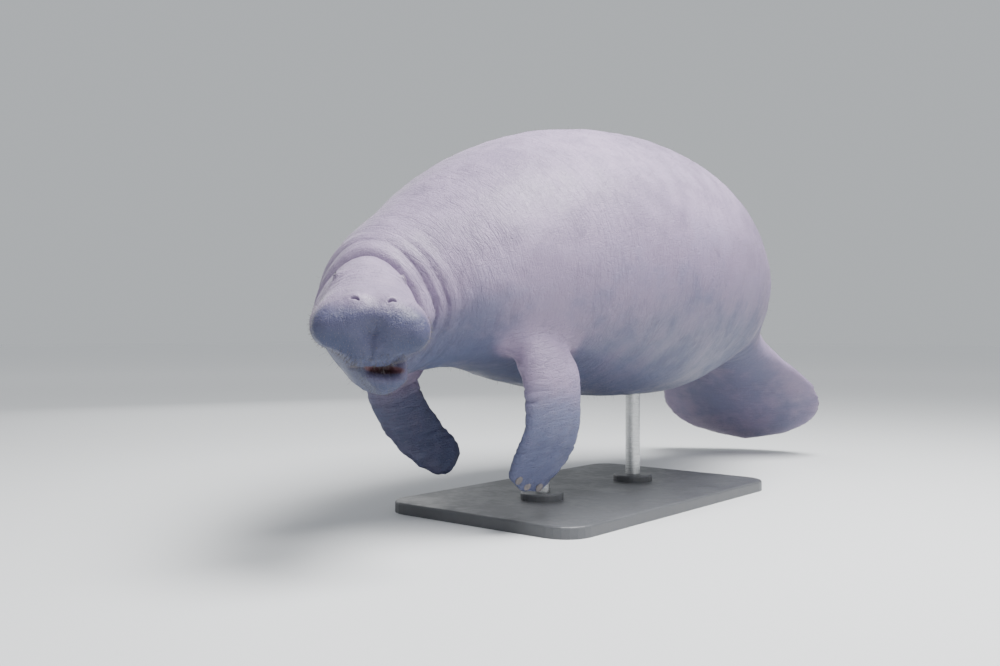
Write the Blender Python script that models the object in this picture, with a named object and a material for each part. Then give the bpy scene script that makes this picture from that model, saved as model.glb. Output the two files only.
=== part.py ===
"""Life-size still model of a Florida manatee hovering in mid-water, held by a plain display stand.

The animal is drawn straight first, along a station line that runs back from the tip of the snout, with x to its
left and z up. Every point is then carried onto a bent spine, which gives the pose. The flippers grow from the
shoulders of the posed body, and the rods of the stand run up to its belly.
Metres, +Z up, the head towards -Y, and the origin under the middle of the stand.
"""

import math

import bmesh
import bpy
from mathutils import Matrix, Vector

# Clearance between pieces that touch.
GAP = 0.0003

# Body length from the tip of the snout to the rim of the tail, and the station that lies over the origin.
BODY_LENGTH = 3.0
ANCHOR_STATION = 1.30

# Body sections: distance back from the snout tip, half width, rise above the spine, drop below the spine.
BODY_SECTIONS = (
    (0.000, 0.108, 0.046, 0.068),
    (0.060, 0.113, 0.066, 0.084),
    (0.110, 0.112, 0.088, 0.098),
    (0.150, 0.112, 0.105, 0.122),
    (0.200, 0.116, 0.121, 0.143),
    (0.270, 0.123, 0.136, 0.155),
    (0.335, 0.129, 0.142, 0.160),
    (0.375, 0.160, 0.166, 0.168),
    (0.450, 0.192, 0.192, 0.177),
    (0.560, 0.240, 0.226, 0.192),
    (0.700, 0.308, 0.282, 0.236),
    (0.900, 0.377, 0.348, 0.320),
    (1.100, 0.416, 0.386, 0.370),
    (1.350, 0.432, 0.398, 0.402),
    (1.600, 0.405, 0.376, 0.388),
    (1.850, 0.330, 0.305, 0.312),
    (2.050, 0.245, 0.222, 0.222),
    (2.220, 0.172, 0.150, 0.146),
    (2.340, 0.142, 0.105, 0.100),
    (2.450, 0.192, 0.078, 0.072),
    (2.560, 0.264, 0.060, 0.055),
    (2.660, 0.308, 0.050, 0.044),
    (2.740, 0.320, 0.044, 0.038),
)

# How much narrower the top of a section is than its middle, by station.
CROWN_TAPER = ((0.0, 0.05), (0.10, 0.18), (0.20, 0.29), (0.335, 0.26), (0.45, 0.10), (0.70, 0.0))

# How much narrower the foot of a section is than its middle, by station.
THROAT_TAPER = ((0.0, 0.0), (0.06, 0.06), (0.11, 0.26), (0.18, 0.34), (0.30, 0.34), (0.45, 0.20), (0.56, 0.10),
                (0.70, 0.0))

# How far the foot of a section lies to the left, by station, because the jaw is drawn to its left.
THROAT_DRIFT = ((0.0, 0.0), (0.06, 0.004), (0.12, 0.022), (0.20, 0.028), (0.30, 0.014), (0.42, 0.0))

# How square a section is, by station: 1 is an ellipse, and less is squarer.
ROUNDNESS = ((0.0, 0.84), (0.15, 0.90), (0.35, 0.97), (0.70, 0.97), (2.2, 1.0))

# Pose in degrees, by distance back from the snout: nose down, turned to its left, and left side down.
PITCH = ((0.0, 2.0), (0.24, 3.0), (0.42, 14.0), (0.60, 16.0), (0.90, 9.0), (1.30, 0.0), (1.70, -9.0), (2.05, -19.0),
         (2.35, -32.0), (2.60, -39.0), (3.0, -43.0))
YAW = ((0.0, 51.0), (0.24, 50.0), (0.36, 34.0), (0.46, 11.0), (0.60, -4.0), (0.90, -3.5), (1.30, 0.0),
       (1.55, 0.0), (2.00, 6.0), (2.35, 13.0), (3.0, 22.0))
ROLL = ((0.0, 3.5), (0.26, 3.0), (0.60, 0.0), (3.0, 0.0))
SPINE_STEP = 0.005

# Where the body is parted into its named lengths.
NECK_CREASE = 0.335
PARTINGS = {
    "muzzle": (0.0, 0.150),
    "head": (0.150, NECK_CREASE),
    "neck": (NECK_CREASE, 0.520),
    "chest": (0.520, 0.940),
    "belly": (0.940, 1.660),
    "rump": (1.660, 2.060),
    "tail_stock": (2.060, 2.380),
    "tail_paddle": (2.380, BODY_LENGTH),
}
RING_SPACING = {"muzzle": 0.014, "head": 0.018, "neck": 0.030, "chest": 0.058, "belly": 0.080, "rump": 0.064,
                "tail_stock": 0.050, "tail_paddle": 0.048}
BODY_SIDES = 40

# Blunt end of the snout, and the thin rounded rim of the tail.
SNOUT_DEPTH = 0.070
SNOUT_RINGS = 7
SNOUT_BLUNTNESS = 0.84
RIM_START = 2.740
RIM_RINGS = 7
RIM_POWER = 2.2
RIM_THICKNESS = 0.010
BLADE_START = 2.30
BLADE_LENGTH = 0.25

# Creases round the neck: station, depth at the flanks, and the share of it that is left over the nape.
CREASES = ((NECK_CREASE, 0.016, 1.0), (0.390, 0.010, 0.35), (0.442, 0.006, 0.15), (0.496, 0.004, 0.1))
CREASE_FRONT_WIDTH = 0.012
CREASE_BACK_WIDTH = 0.009
CREASE_RINGS = (-0.010, 0.0, 0.010, 0.022)
CREASE_SLANT = 0.16
CREASE_SLANT_REACH = 0.14

# Swells and hollows of the face: name, place on the left side as x, station and z, reach, and push.
# Every one is mirrored to the right side.
SWELLS = (
    ("upper lip pad", (0.088, 0.034, -0.018), 0.048, (0.023, -0.016, -0.004)),
    ("upper lip hem", (0.028, 0.044, -0.080), 0.034, (0.002, -0.006, -0.023)),
    ("lip lobe", (0.098, 0.040, -0.056), 0.026, (0.004, -0.002, -0.016)),
    ("lip corner", (0.066, 0.058, -0.084), 0.024, (0.000, 0.004, 0.014)),
    ("cheek", (0.118, 0.125, -0.045), 0.055, (0.010, 0.000, -0.006)),
    ("nostril pad", (0.032, 0.026, 0.052), 0.024, (0.004, -0.006, 0.009)),
    ("brow", (0.076, 0.185, 0.096), 0.030, (0.006, 0.000, 0.006)),
    ("bridge dip", (0.000, 0.110, 0.095), 0.045, (0.000, 0.000, -0.007)),
    ("lip cleft", (0.000, 0.000, -0.022), 0.024, (0.000, 0.014, 0.006)),
)

# Lower jaw: distance back from the snout tip, half width, top and bottom.
JAW_SECTIONS = (
    (0.058, 0.026, -0.114, -0.130),
    (0.070, 0.035, -0.104, -0.143),
    (0.096, 0.046, -0.084, -0.154),
    (0.140, 0.057, -0.058, -0.161),
    (0.190, 0.064, -0.044, -0.164),
    (0.240, 0.066, -0.046, -0.164),
    (0.300, 0.054, -0.080, -0.158),
)
JAW_OFFSET = 0.048
JAW_SIDES = 24
JAW_RINGS = 10
JAW_ROUNDNESS = 0.94
JAW_TAPER = 0.55
JAW_TIP_POWER = 0.4
JAW_TIP_START = 0.3
JAW_TIP_LENGTH = 0.034
JAW_TIP_RINGS = 4
MOUTH_PLACE = (0.034, 0.076, -0.101)
MOUTH_RADII = (0.050, 0.038, 0.008)

# Eyes and lids: station, turn up from the flank, radii, and how far the eye's middle lies under the skin.
EYE_STATION = 0.186
EYE_TURN = math.radians(46)
EYE_RADIUS = 0.0100
EYE_DEPTH = 0.0050
LID_RADIUS = 0.0110
LID_THICKNESS = 0.0042

# Nostrils: station, turn up from the flank, and radii across, along and into the snout.
NOSTRIL_STATION = 0.022
NOSTRIL_TURN = math.radians(69)
NOSTRIL_RADII = (0.012, 0.006, 0.015)

# Flippers: the shoulder on the body, then the centre line from it as metres outward, back and up.
SHOULDER_STATION = 0.735
SHOULDER_TURN = math.radians(-44)
FLIPPER_PATHS = {
    "left": ((-0.060, 0.030, 0.060), (0.000, 0.000, 0.000), (0.042, 0.004, -0.098), (0.046, 0.002, -0.200),
             (0.010, -0.022, -0.300), (-0.022, -0.040, -0.362)),
    "right": ((-0.060, 0.030, 0.060), (0.000, 0.000, 0.000), (0.040, -0.050, -0.105), (0.018, -0.025, -0.198),
              (-0.030, 0.030, -0.288), (-0.078, 0.090, -0.345)),
}
# Share of the centre line's length, chord and thickness.
FLIPPER_SECTIONS = (
    (0.00, 0.175, 0.120),
    (0.20, 0.165, 0.100),
    (0.42, 0.158, 0.066),
    (0.62, 0.154, 0.048),
    (0.82, 0.142, 0.036),
    (0.93, 0.120, 0.028),
)
FLIPPER_TIP_SHARE = 0.93
FLIPPER_SIDES = 20
FLIPPER_RINGS = 13
FLIPPER_TIP_RINGS = 5
# Direction from the trailing edge to the leading edge, as outward, back and up.
FLIPPER_CHORDS = {"left": (-0.42, -0.90, 0.10), "right": (0.36, -0.84, -0.40)}

# Nails on the outer face of each flipper's tip: share along the centre line and place across the chord.
NAIL_PLACES = ((0.945, -0.30), (0.965, -0.02), (0.955, 0.25))
NAIL_RADII = (0.0085, 0.0115, 0.0040)

# Stand: a plate on the floor, two rods to the belly, and a collar round the foot of each rod.
STAND_CLEARANCE = 0.055
BASE_SIZE = (0.66, 1.10, 0.032)
BASE_CORNER = 0.080
BASE_BEVEL = 0.006
ROD_RADIUS = 0.023
ROD_SIDES = 32
ROD_PLACES_Y = {"front": -0.24, "rear": 0.24}
ROD_REACH_IN = 0.10
COLLAR_RADIUS = 0.062
COLLAR_HEIGHT = 0.020
COLLAR_BEVEL = 0.005

# Colours.
SKIN = (0.290, 0.240, 0.300)
BELLY_SKIN = (0.200, 0.195, 0.250)
EYE_BLACK = (0.012, 0.010, 0.010)
NAIL_HORN = (0.330, 0.300, 0.270)
STAND_GREY = (0.060, 0.062, 0.066)
ROD_STEEL = (0.520, 0.525, 0.530)


def curve_through(table, at):
    """Value at a station of a smooth curve through a table's points that never overshoots them."""
    xs = [row[0] for row in table]
    ys = [row[1] for row in table]
    if at <= xs[0]:
        return ys[0]
    if at >= xs[-1]:
        return ys[-1]
    slopes = [(ys[i + 1] - ys[i]) / (xs[i + 1] - xs[i]) for i in range(len(xs) - 1)]

    def tangent(i):
        if i in (0, len(xs) - 1):
            return slopes[min(i, len(slopes) - 1)]
        if slopes[i - 1] * slopes[i] <= 0:
            return 0.0
        return 2 * slopes[i - 1] * slopes[i] / (slopes[i - 1] + slopes[i])

    i = max(k for k in range(len(xs) - 1) if xs[k] <= at)
    width = xs[i + 1] - xs[i]
    t = (at - xs[i]) / width
    return (
        ys[i] * (1 + 2 * t) * (1 - t) ** 2
        + tangent(i) * width * t * (1 - t) ** 2
        + ys[i + 1] * t * t * (3 - 2 * t)
        + tangent(i + 1) * width * t * t * (t - 1)
    )


def column(table, index):
    """First column of a table paired with another of its columns."""
    return [(row[0], row[index]) for row in table]


HALF_WIDTH = column(BODY_SECTIONS, 1)
RISE = column(BODY_SECTIONS, 2)
DROP = column(BODY_SECTIONS, 3)


def bell(distance, width):
    """One at no distance, falling smoothly to nothing over about two widths."""
    return math.exp(-((distance / width) ** 2))


def signed_power(value, power):
    """A power that keeps the sign of its base."""
    return math.copysign(abs(value) ** power, value)


class Spine:
    """The bent line that the straight body is carried onto."""

    def __init__(self):
        self.height = 0.0
        self.points = [Vector((0, 0, 0))]
        for step in range(round(BODY_LENGTH / SPINE_STEP) + 40):
            forward = self.axes((step + 0.5) * SPINE_STEP)[0]
            self.points.append(self.points[-1] - forward * SPINE_STEP)
        self.start = -self.along(ANCHOR_STATION)

    def axes(self, station):
        """Forward, left and up at a station."""
        pitch = math.radians(curve_through(PITCH, station))
        yaw = math.radians(curve_through(YAW, station))
        roll = math.radians(curve_through(ROLL, station))
        forward = Vector((math.sin(yaw) * math.cos(pitch), -math.cos(yaw) * math.cos(pitch), -math.sin(pitch)))
        level = Vector((math.cos(yaw), math.sin(yaw), 0))
        left = level * math.cos(roll) - forward.cross(level) * math.sin(roll)
        return forward, left, forward.cross(left)

    def along(self, station):
        """Point of the line at a station, before the body is set over the stand."""
        if station < 0:
            return self.points[0] - self.axes(0)[0] * station
        place = station / SPINE_STEP
        i = int(place)
        return self.points[i].lerp(self.points[i + 1], place - i)

    def carry(self, point):
        """Posed place of a straight point, given as x to the left, station and z up."""
        x, station, z = point
        _, left, up = self.axes(station)
        return self.start + self.along(station) + left * x + up * z + Vector((0, 0, self.height))


SPINE = Spine()


def crease_depth(station, side):
    """How far the neck creases draw the skin in; side is 1 at the flanks and 0 over the nape."""
    depth = 0.0
    for place, deep, over_nape in CREASES:
        width = CREASE_FRONT_WIDTH if station < place else CREASE_BACK_WIDTH
        depth += deep * (over_nape + (1 - over_nape) * side) * math.exp(-abs(station - place) / width)
    return depth


def swollen(point):
    """A straight point after the swells and hollows of the face."""
    moved = Vector(point)
    for _, (x, station, z), reach, push in SWELLS:
        for side in (1, -1):
            strength = bell((point - Vector((side * x, station, z))).length, reach)
            if x == 0:
                strength /= 2
            moved += Vector((side * push[0], push[1], push[2])) * strength
    return moved


def blunt_scale(station):
    """Share of the full section that is left at a station near the tip of the snout."""
    if station >= SNOUT_DEPTH:
        return 1.0
    reach = 1 - station / SNOUT_DEPTH
    return (1 - reach**2) ** (SNOUT_BLUNTNESS / 2)


def section_point(station, turn, grow=0.0):
    """Straight point on the body at a station and a turn about the spine, from the left flank over the back."""
    width = curve_through(HALF_WIDTH, station)
    tall = curve_through(RISE if math.sin(turn) >= 0 else DROP, station)
    if station > RIM_START:
        reach = (station - RIM_START) / (BODY_LENGTH - RIM_START)
        width *= math.sqrt(max(0.0, 1 - reach**RIM_POWER))
        tall = RIM_THICKNESS + (tall - RIM_THICKNESS) * math.sqrt(max(0.0, 1 - reach**2))
    blade = min(1.0, max(0.0, (station - BLADE_START) / BLADE_LENGTH))
    blade = blade * blade * (3 - 2 * blade)
    roundness = curve_through(ROUNDNESS, station)
    across = abs(math.sin(turn)) ** roundness
    profile = (1 - blade) * across + blade * (0.30 * across**0.8 + 0.70 * across**3)
    drawn_in = crease_depth(station, 1 - max(0.0, math.sin(turn)) ** 2)
    taper = 1 - curve_through(CROWN_TAPER, station) * max(0.0, math.sin(turn))
    taper -= curve_through(THROAT_TAPER, station) * max(0.0, -math.sin(turn))
    scale = blunt_scale(station)
    x = (width + grow - drawn_in) * taper * signed_power(math.cos(turn), roundness) * scale
    x += curve_through(THROAT_DRIFT, station) * max(0.0, -math.sin(turn)) ** 2
    z = math.copysign(tall + grow - drawn_in, math.sin(turn)) * profile * scale
    slant = CREASE_SLANT * bell(station - NECK_CREASE, CREASE_SLANT_REACH)
    return swollen(Vector((x, station - slant * x, z)))


def ring(station, grow=0.0):
    """Straight points round the body at a station."""
    return [section_point(station, 2 * math.pi * i / BODY_SIDES, grow) for i in range(BODY_SIDES)]


def stations_between(start, end, spacing):
    """Evenly spaced stations, with closer ones at the neck creases."""
    count = max(2, round((end - start) / spacing) + 1)
    even = [start + (end - start) * i / (count - 1) for i in range(count)]
    creased = [crease[0] + offset for crease in CREASES for offset in CREASE_RINGS]
    creased = [station for station in creased if start + 0.002 < station < end - 0.002]
    clear = [station for station in even if all(abs(station - other) > 0.009 for other in creased)]
    return sorted({start, end, *clear, *creased})


def body_rings(start, end, spacing, grow=0.0):
    """Straight rings of one length of the body, blunt at the snout and thin at the rim of the tail."""
    rings = []
    if start < SNOUT_DEPTH:
        for k in range(1, SNOUT_RINGS):
            reach = math.sqrt(1 - (k / SNOUT_RINGS) ** (2 / SNOUT_BLUNTNESS))
            rings.append(ring(SNOUT_DEPTH * (1 - reach), grow))
        start = SNOUT_DEPTH
    rings += [ring(station, grow) for station in stations_between(start, min(end, RIM_START), spacing)]
    if end > RIM_START:
        for k in range(1, RIM_RINGS + 1):
            reach = math.sin(0.5 * math.pi * k / (RIM_RINGS + 0.35))
            rings.append(ring(RIM_START + (BODY_LENGTH - RIM_START) * reach, grow))
    return rings


def add_object(name, shape):
    """Links a bmesh to the scene as a named object."""
    bmesh.ops.recalc_face_normals(shape, faces=shape.faces)
    mesh = bpy.data.meshes.new(name)
    shape.to_mesh(mesh)
    shape.free()
    obj = bpy.data.objects.new(name, mesh)
    bpy.context.scene.collection.objects.link(obj)
    return obj


def loft(name, rings):
    """Closed mesh through rings of points, capped by a fan at each end."""
    shape = bmesh.new()
    first = [shape.verts.new(point) for point in rings[0]]
    edges = [shape.edges.new(pair) for pair in zip(first, first[1:] + first[:1])]
    rims = [list(edges)]
    for points in rings[1:]:
        grown = bmesh.ops.extrude_edge_only(shape, edges=edges)["geom"]
        edges = [item for item in grown if isinstance(item, bmesh.types.BMEdge)]
        for vert, point in zip([item for item in grown if isinstance(item, bmesh.types.BMVert)], points):
            vert.co = point
    rims.append(edges)
    for rim in rims:
        cap = bmesh.ops.contextual_create(shape, geom=rim)["faces"]
        bmesh.ops.poke(shape, faces=cap)
    bmesh.ops.triangulate(shape, faces=shape.faces, quad_method="FIXED")
    return add_object(name, shape)


def ellipsoid(name, radii, place, sides=24, rows=12):
    """Closed ellipsoid, its longest way given by its radii and its place by a matrix."""
    shape = bmesh.new()
    size = place @ Matrix.Diagonal((*radii, 1))
    bmesh.ops.create_uvsphere(shape, u_segments=sides, v_segments=rows, radius=1, matrix=size)
    return add_object(name, shape)


def torus(name, radius, thickness, place, sides=24, rows=8):
    """Closed ring round the z axis of a matrix, made by spinning a circle."""
    shape = bmesh.new()
    circle = bmesh.ops.create_circle(shape, segments=rows, radius=thickness)["verts"]
    upright = Matrix.Translation((radius, 0, 0)) @ Matrix.Rotation(math.pi / 2, 4, "X")
    bmesh.ops.transform(shape, matrix=upright, verts=circle)
    bmesh.ops.spin(shape, geom=shape.edges[:], axis=(0, 0, 1), cent=(0, 0, 0), angle=2 * math.pi, steps=sides)
    bmesh.ops.remove_doubles(shape, verts=shape.verts, dist=1e-6)
    bmesh.ops.transform(shape, matrix=place, verts=shape.verts)
    return add_object(name, shape)


def prism(name, outline, bottom, top, bevel=0.0):
    """Upright solid on a flat outline, with its top edge bevelled."""
    shape = bmesh.new()
    floor = shape.faces.new([shape.verts.new((x, y, bottom)) for x, y in outline])
    raised = bmesh.ops.extrude_face_region(shape, geom=[floor])["geom"]
    verts = [item for item in raised if isinstance(item, bmesh.types.BMVert)]
    bmesh.ops.translate(shape, verts=verts, vec=(0, 0, top - bottom))
    if bevel:
        rim = [edge for edge in shape.edges if all(abs(v.co.z - top) < 1e-6 for v in edge.verts)]
        bmesh.ops.bevel(shape, geom=rim, offset=bevel, segments=3, profile=0.5, affect="EDGES")
    return add_object(name, shape)


def circle_outline(radius, centre, sides=ROD_SIDES):
    """Points round a circle."""
    turns = [2 * math.pi * i / sides for i in range(sides)]
    return [(centre[0] + radius * math.cos(turn), centre[1] + radius * math.sin(turn)) for turn in turns]


def rounded_outline(size_x, size_y, corner, steps=6):
    """Points round a rectangle with round corners."""
    points = []
    for quarter, (sx, sy) in enumerate(((1, 1), (-1, 1), (-1, -1), (1, -1))):
        for step in range(steps + 1):
            turn = math.pi / 2 * (quarter + step / steps)
            x = sx * (size_x / 2 - corner) + corner * math.cos(turn)
            y = sy * (size_y / 2 - corner) + corner * math.sin(turn)
            points.append((x, y))
    return points


def keep_largest_shell(obj):
    """Drops every closed surface of a mesh but its largest."""
    shape = bmesh.new()
    shape.from_mesh(obj.data)
    left = set(shape.verts)
    shells = []
    while left:
        seed = left.pop()
        shell, front = {seed}, [seed]
        while front:
            for edge in front.pop().link_edges:
                for vert in edge.verts:
                    if vert not in shell:
                        shell.add(vert)
                        front.append(vert)
        left -= shell
        shells.append(shell)
    largest = max(shells, key=len)
    bmesh.ops.delete(shape, geom=[vert for vert in shape.verts if vert not in largest], context="VERTS")
    shape.to_mesh(obj.data)
    shape.free()


def combine(obj, others, operation):
    """Joins others to an object, or cuts them from it, and removes them."""
    helpers = bpy.data.collections.new("helpers")
    bpy.context.scene.collection.children.link(helpers)
    for other in others:
        helpers.objects.link(other)
    boolean = obj.modifiers.new("combine", "BOOLEAN")
    boolean.operand_type = "COLLECTION"
    boolean.collection = helpers
    boolean.operation = operation
    boolean.solver = "EXACT"
    result = bpy.data.meshes.new_from_object(obj.evaluated_get(bpy.context.evaluated_depsgraph_get()))
    obj.modifiers.clear()
    obj.data = result
    for other in others:
        bpy.data.objects.remove(other)
    bpy.data.collections.remove(helpers)
    keep_largest_shell(obj)


def fuse(obj, others):
    """Joins closed pieces to an object."""
    combine(obj, others, "UNION")


def carve(obj, others):
    """Cuts closed pieces out of an object."""
    combine(obj, others, "DIFFERENCE")


def frame_at(origin, out, along):
    """Matrix at a place whose z looks out and whose y runs along a direction as nearly as it can."""
    z = out.normalized()
    x = along.cross(z).normalized()
    y = z.cross(x)
    turned = Matrix((x, y, z)).transposed().to_4x4()
    return Matrix.Translation(origin) @ turned


def posed_frame(station, turn):
    """Matrix on the posed skin whose z looks out of the body and whose y runs back along it."""
    step = 0.004
    here = SPINE.carry(section_point(station, turn))
    back = SPINE.carry(section_point(station + step, turn)) - SPINE.carry(section_point(station - step, turn))
    round_ = SPINE.carry(section_point(station, turn + step)) - SPINE.carry(section_point(station, turn - step))
    out = round_.cross(back)
    if out.dot(here - SPINE.carry((0, station, 0))) < 0:
        out = -out
    return frame_at(here, out, back)


def pose(obj):
    """Carries a straight object onto the spine."""
    for vert in obj.data.vertices:
        vert.co = SPINE.carry(vert.co)


def body_length(name, grow=0.0):
    """One posed length of the body, or the same length swollen by a clearance and overlong, as a cutter."""
    start, end = PARTINGS[name]
    front = start + (GAP / 2 if start > 0 else 0)
    back = end - (GAP / 2 if end < BODY_LENGTH else 0)
    obj = loft(name, body_rings(front, back, RING_SPACING[name], grow))
    pose(obj)
    return obj


def build_body():
    """Every length of the body from the muzzle to the paddle of the tail."""
    return {name: body_length(name) for name in PARTINGS}


def jaw_ring(station, grow=0.0):
    """Straight points round the lower jaw at a station."""
    first, last = JAW_SECTIONS[0][0], JAW_SECTIONS[-1][0]
    reach = max(0.0, 1 - (station - first) / JAW_TIP_LENGTH)
    tip = (1 - reach**2) ** JAW_TIP_POWER
    top = curve_through(column(JAW_SECTIONS, 2), station)
    bottom = curve_through(column(JAW_SECTIONS, 3), station)
    middle = (top + bottom) / 2
    half_width = curve_through(column(JAW_SECTIONS, 1), station) * tip + grow
    half_height = (top - bottom) / 2 * tip + grow
    aside = JAW_OFFSET * (last - station) / (last - first)
    points = []
    for i in range(JAW_SIDES):
        turn = 2 * math.pi * i / JAW_SIDES
        taper = 1 - JAW_TAPER * max(0.0, -math.sin(turn))
        x = aside + half_width * taper * signed_power(math.cos(turn), JAW_ROUNDNESS)
        z = middle + half_height * signed_power(math.sin(turn), JAW_ROUNDNESS)
        points.append(Vector((x, station, z)))
    return points


def jaw_loft(name, grow=0.0):
    """Posed lower jaw, or the same swollen by a clearance, as a cutter."""
    first, last = JAW_SECTIONS[0][0], JAW_SECTIONS[-1][0]
    tips = [first + JAW_TIP_LENGTH * (1 - math.cos(0.5 * math.pi * (k + JAW_TIP_START) / JAW_TIP_RINGS))
            for k in range(JAW_TIP_RINGS)]
    rest = [first + JAW_TIP_LENGTH + (last - first - JAW_TIP_LENGTH) * i / (JAW_RINGS - 1) for i in range(JAW_RINGS)]
    rings = [jaw_ring(station, grow) for station in (*tips, *rest)]
    for end, shift in ((rings[0], -grow), (rings[-1], grow)):
        for point in end:
            point.y += shift
    obj = loft(name, rings)
    pose(obj)
    return obj


def build_jaw(body):
    """Lower jaw, let into the head and muzzle, with the mouth a little open in front of it."""
    jaw = jaw_loft("lower_jaw")
    for name in ("head", "muzzle"):
        carve(body[name], [jaw_loft("jaw_room", GAP)])
    return jaw


def open_mouth(body, jaw):
    """Cuts the parted lips from the muzzle and the jaw."""
    forward, left, up = SPINE.axes(MOUTH_PLACE[1])
    place = frame_at(SPINE.carry(MOUTH_PLACE), up, -forward)
    for obj in (body["muzzle"], jaw):
        carve(obj, [ellipsoid("mouth_room", MOUTH_RADII, place)])


def build_eyes(body):
    """Eyes in their sockets, with a round lid raised from the head."""
    eyes = {}
    for side, turn in (("left", EYE_TURN), ("right", math.pi - EYE_TURN)):
        skin = posed_frame(EYE_STATION, turn)
        socket = skin @ Matrix.Translation((0, 0, -EYE_DEPTH))
        rim = torus("lid", LID_RADIUS, LID_THICKNESS, skin @ Matrix.Translation((0, 0, -0.001)))
        fuse(body["head"], [rim])
        hollow = EYE_RADIUS + GAP
        carve(body["head"], [ellipsoid("socket_room", (hollow, hollow, hollow), socket, 20, 12)])
        eyes[side] = ellipsoid("eye_" + side, (EYE_RADIUS, EYE_RADIUS, EYE_RADIUS), socket, 20, 12)
    return eyes


def cut_nostrils(muzzle):
    """Two nostrils on the top of the snout, looking forward and up."""
    for turn in (NOSTRIL_TURN, math.pi - NOSTRIL_TURN):
        carve(muzzle, [ellipsoid("nostril_room", NOSTRIL_RADII, posed_frame(NOSTRIL_STATION, turn), 16, 8)])


class Flipper:
    """One forelimb: its centre line, chord and thickness in the posed frame."""

    def __init__(self, side):
        self.side = side
        self.sign = 1 if side == "left" else -1
        turn = SHOULDER_TURN if side == "left" else math.pi - SHOULDER_TURN
        shoulder = SPINE.carry(section_point(SHOULDER_STATION, turn))
        self.points = [shoulder + self.outward(step) for step in FLIPPER_PATHS[side]]
        self.chord = self.outward(FLIPPER_CHORDS[side]).normalized()

    def outward(self, step):
        """World vector of a step given as outward, back and up."""
        return Vector((self.sign * step[0], step[1], step[2]))

    def centre(self, share):
        """Point of the centre line at a share of its length."""
        lengths = [0.0]
        for a, b in zip(self.points, self.points[1:]):
            lengths.append(lengths[-1] + (b - a).length)
        knots = [length / lengths[-1] for length in lengths]
        axes = [[(knot, point[axis]) for knot, point in zip(knots, self.points)] for axis in range(3)]
        return Vector([curve_through(table, share) for table in axes])

    def frame(self, share):
        """Matrix whose z runs to the tip, whose x runs to the leading edge and whose y looks outward."""
        step = 0.02
        ahead = (self.centre(min(1, share + step)) - self.centre(max(0, share - step))).normalized()
        face = ahead.cross(self.chord).normalized()
        chord = face.cross(ahead)
        if face.dot(self.outward((1, 0, 0))) < 0:
            face = -face
        return Matrix.Translation(self.centre(share)) @ Matrix((chord, face, ahead)).transposed().to_4x4()

    def sizes(self, share):
        """Half chord and half thickness at a share of the length."""
        chord = curve_through(column(FLIPPER_SECTIONS, 1), share) / 2
        thick = curve_through(column(FLIPPER_SECTIONS, 2), share) / 2
        if share > FLIPPER_TIP_SHARE:
            reach = (share - FLIPPER_TIP_SHARE) / (1 - FLIPPER_TIP_SHARE)
            shrink = math.sqrt(max(0.0, 1 - reach**2))
            chord *= shrink
            thick *= 0.25 + 0.75 * shrink
        return chord, thick

    def ring(self, share):
        """Points round the flipper at a share of its length, fuller at the leading edge."""
        chord, thick = self.sizes(share)
        place = self.frame(share)
        points = []
        for i in range(FLIPPER_SIDES):
            turn = 2 * math.pi * i / FLIPPER_SIDES
            fullness = 1 + 0.22 * math.cos(turn)
            points.append(place @ Vector((chord * math.cos(turn), thick * fullness * math.sin(turn), 0)))
        return points

    def shares(self):
        """Shares of the length at which the rings lie, closer round the tip."""
        shares = [FLIPPER_TIP_SHARE * i / (FLIPPER_RINGS - 1) for i in range(FLIPPER_RINGS)]
        for k in range(1, FLIPPER_TIP_RINGS + 1):
            reach = math.sin(0.5 * math.pi * k / (FLIPPER_TIP_RINGS + 0.3))
            shares.append(FLIPPER_TIP_SHARE + (1 - FLIPPER_TIP_SHARE) * reach)
        return shares

    def build(self):
        """Flipper that meets the chest face to face, and its nails let into its outer face."""
        blade = loft("flipper_" + self.side, [self.ring(share) for share in self.shares()])
        carve(blade, [body_length("chest", GAP)])
        nails = []
        for number, (share, across) in enumerate(NAIL_PLACES, 1):
            chord, thick = self.sizes(share)
            depth = thick * math.sqrt(1 - (2 * across) ** 2)
            place = self.frame(share) @ Matrix.Translation((2 * across * chord, depth, 0))
            place = place @ Matrix.Rotation(math.pi / 2, 4, "X")
            room = [radius + GAP for radius in NAIL_RADII]
            carve(blade, [ellipsoid("nail_room", room, place, 14, 8)])
            nails.append(ellipsoid(f"nail_{self.side}_{number}", NAIL_RADII, place, 14, 8))
        return [blade, *nails]


def build_stand():
    """Plate, rods cut to the belly, and collars."""
    top = BASE_SIZE[2]
    outline = rounded_outline(BASE_SIZE[0], BASE_SIZE[1], BASE_CORNER)
    pieces = [prism("stand_base", outline, 0.0, top, BASE_BEVEL)]
    for name, y in ROD_PLACES_Y.items():
        centre = (0.0, y)
        rod = prism("stand_rod_" + name, circle_outline(ROD_RADIUS, centre), top + GAP,
                    SPINE.height - ROD_REACH_IN)
        carve(rod, [body_length("belly", GAP)])
        collar = prism("stand_collar_" + name, circle_outline(COLLAR_RADIUS, centre), top + GAP,
                       top + GAP + COLLAR_HEIGHT, COLLAR_BEVEL)
        bore = prism("bore", circle_outline(ROD_RADIUS + GAP, centre), 0.0, SPINE.height)
        carve(collar, [bore])
        pieces += [rod, collar]
    return pieces


def set_height():
    """Raises the spine so that the lowest part of the tail clears the floor."""
    rim = [point for station in (2.8, 2.9, 2.95, 2.99) for point in ring(station)]
    SPINE.height = STAND_CLEARANCE - min(SPINE.carry(point).z for point in rim)


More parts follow.
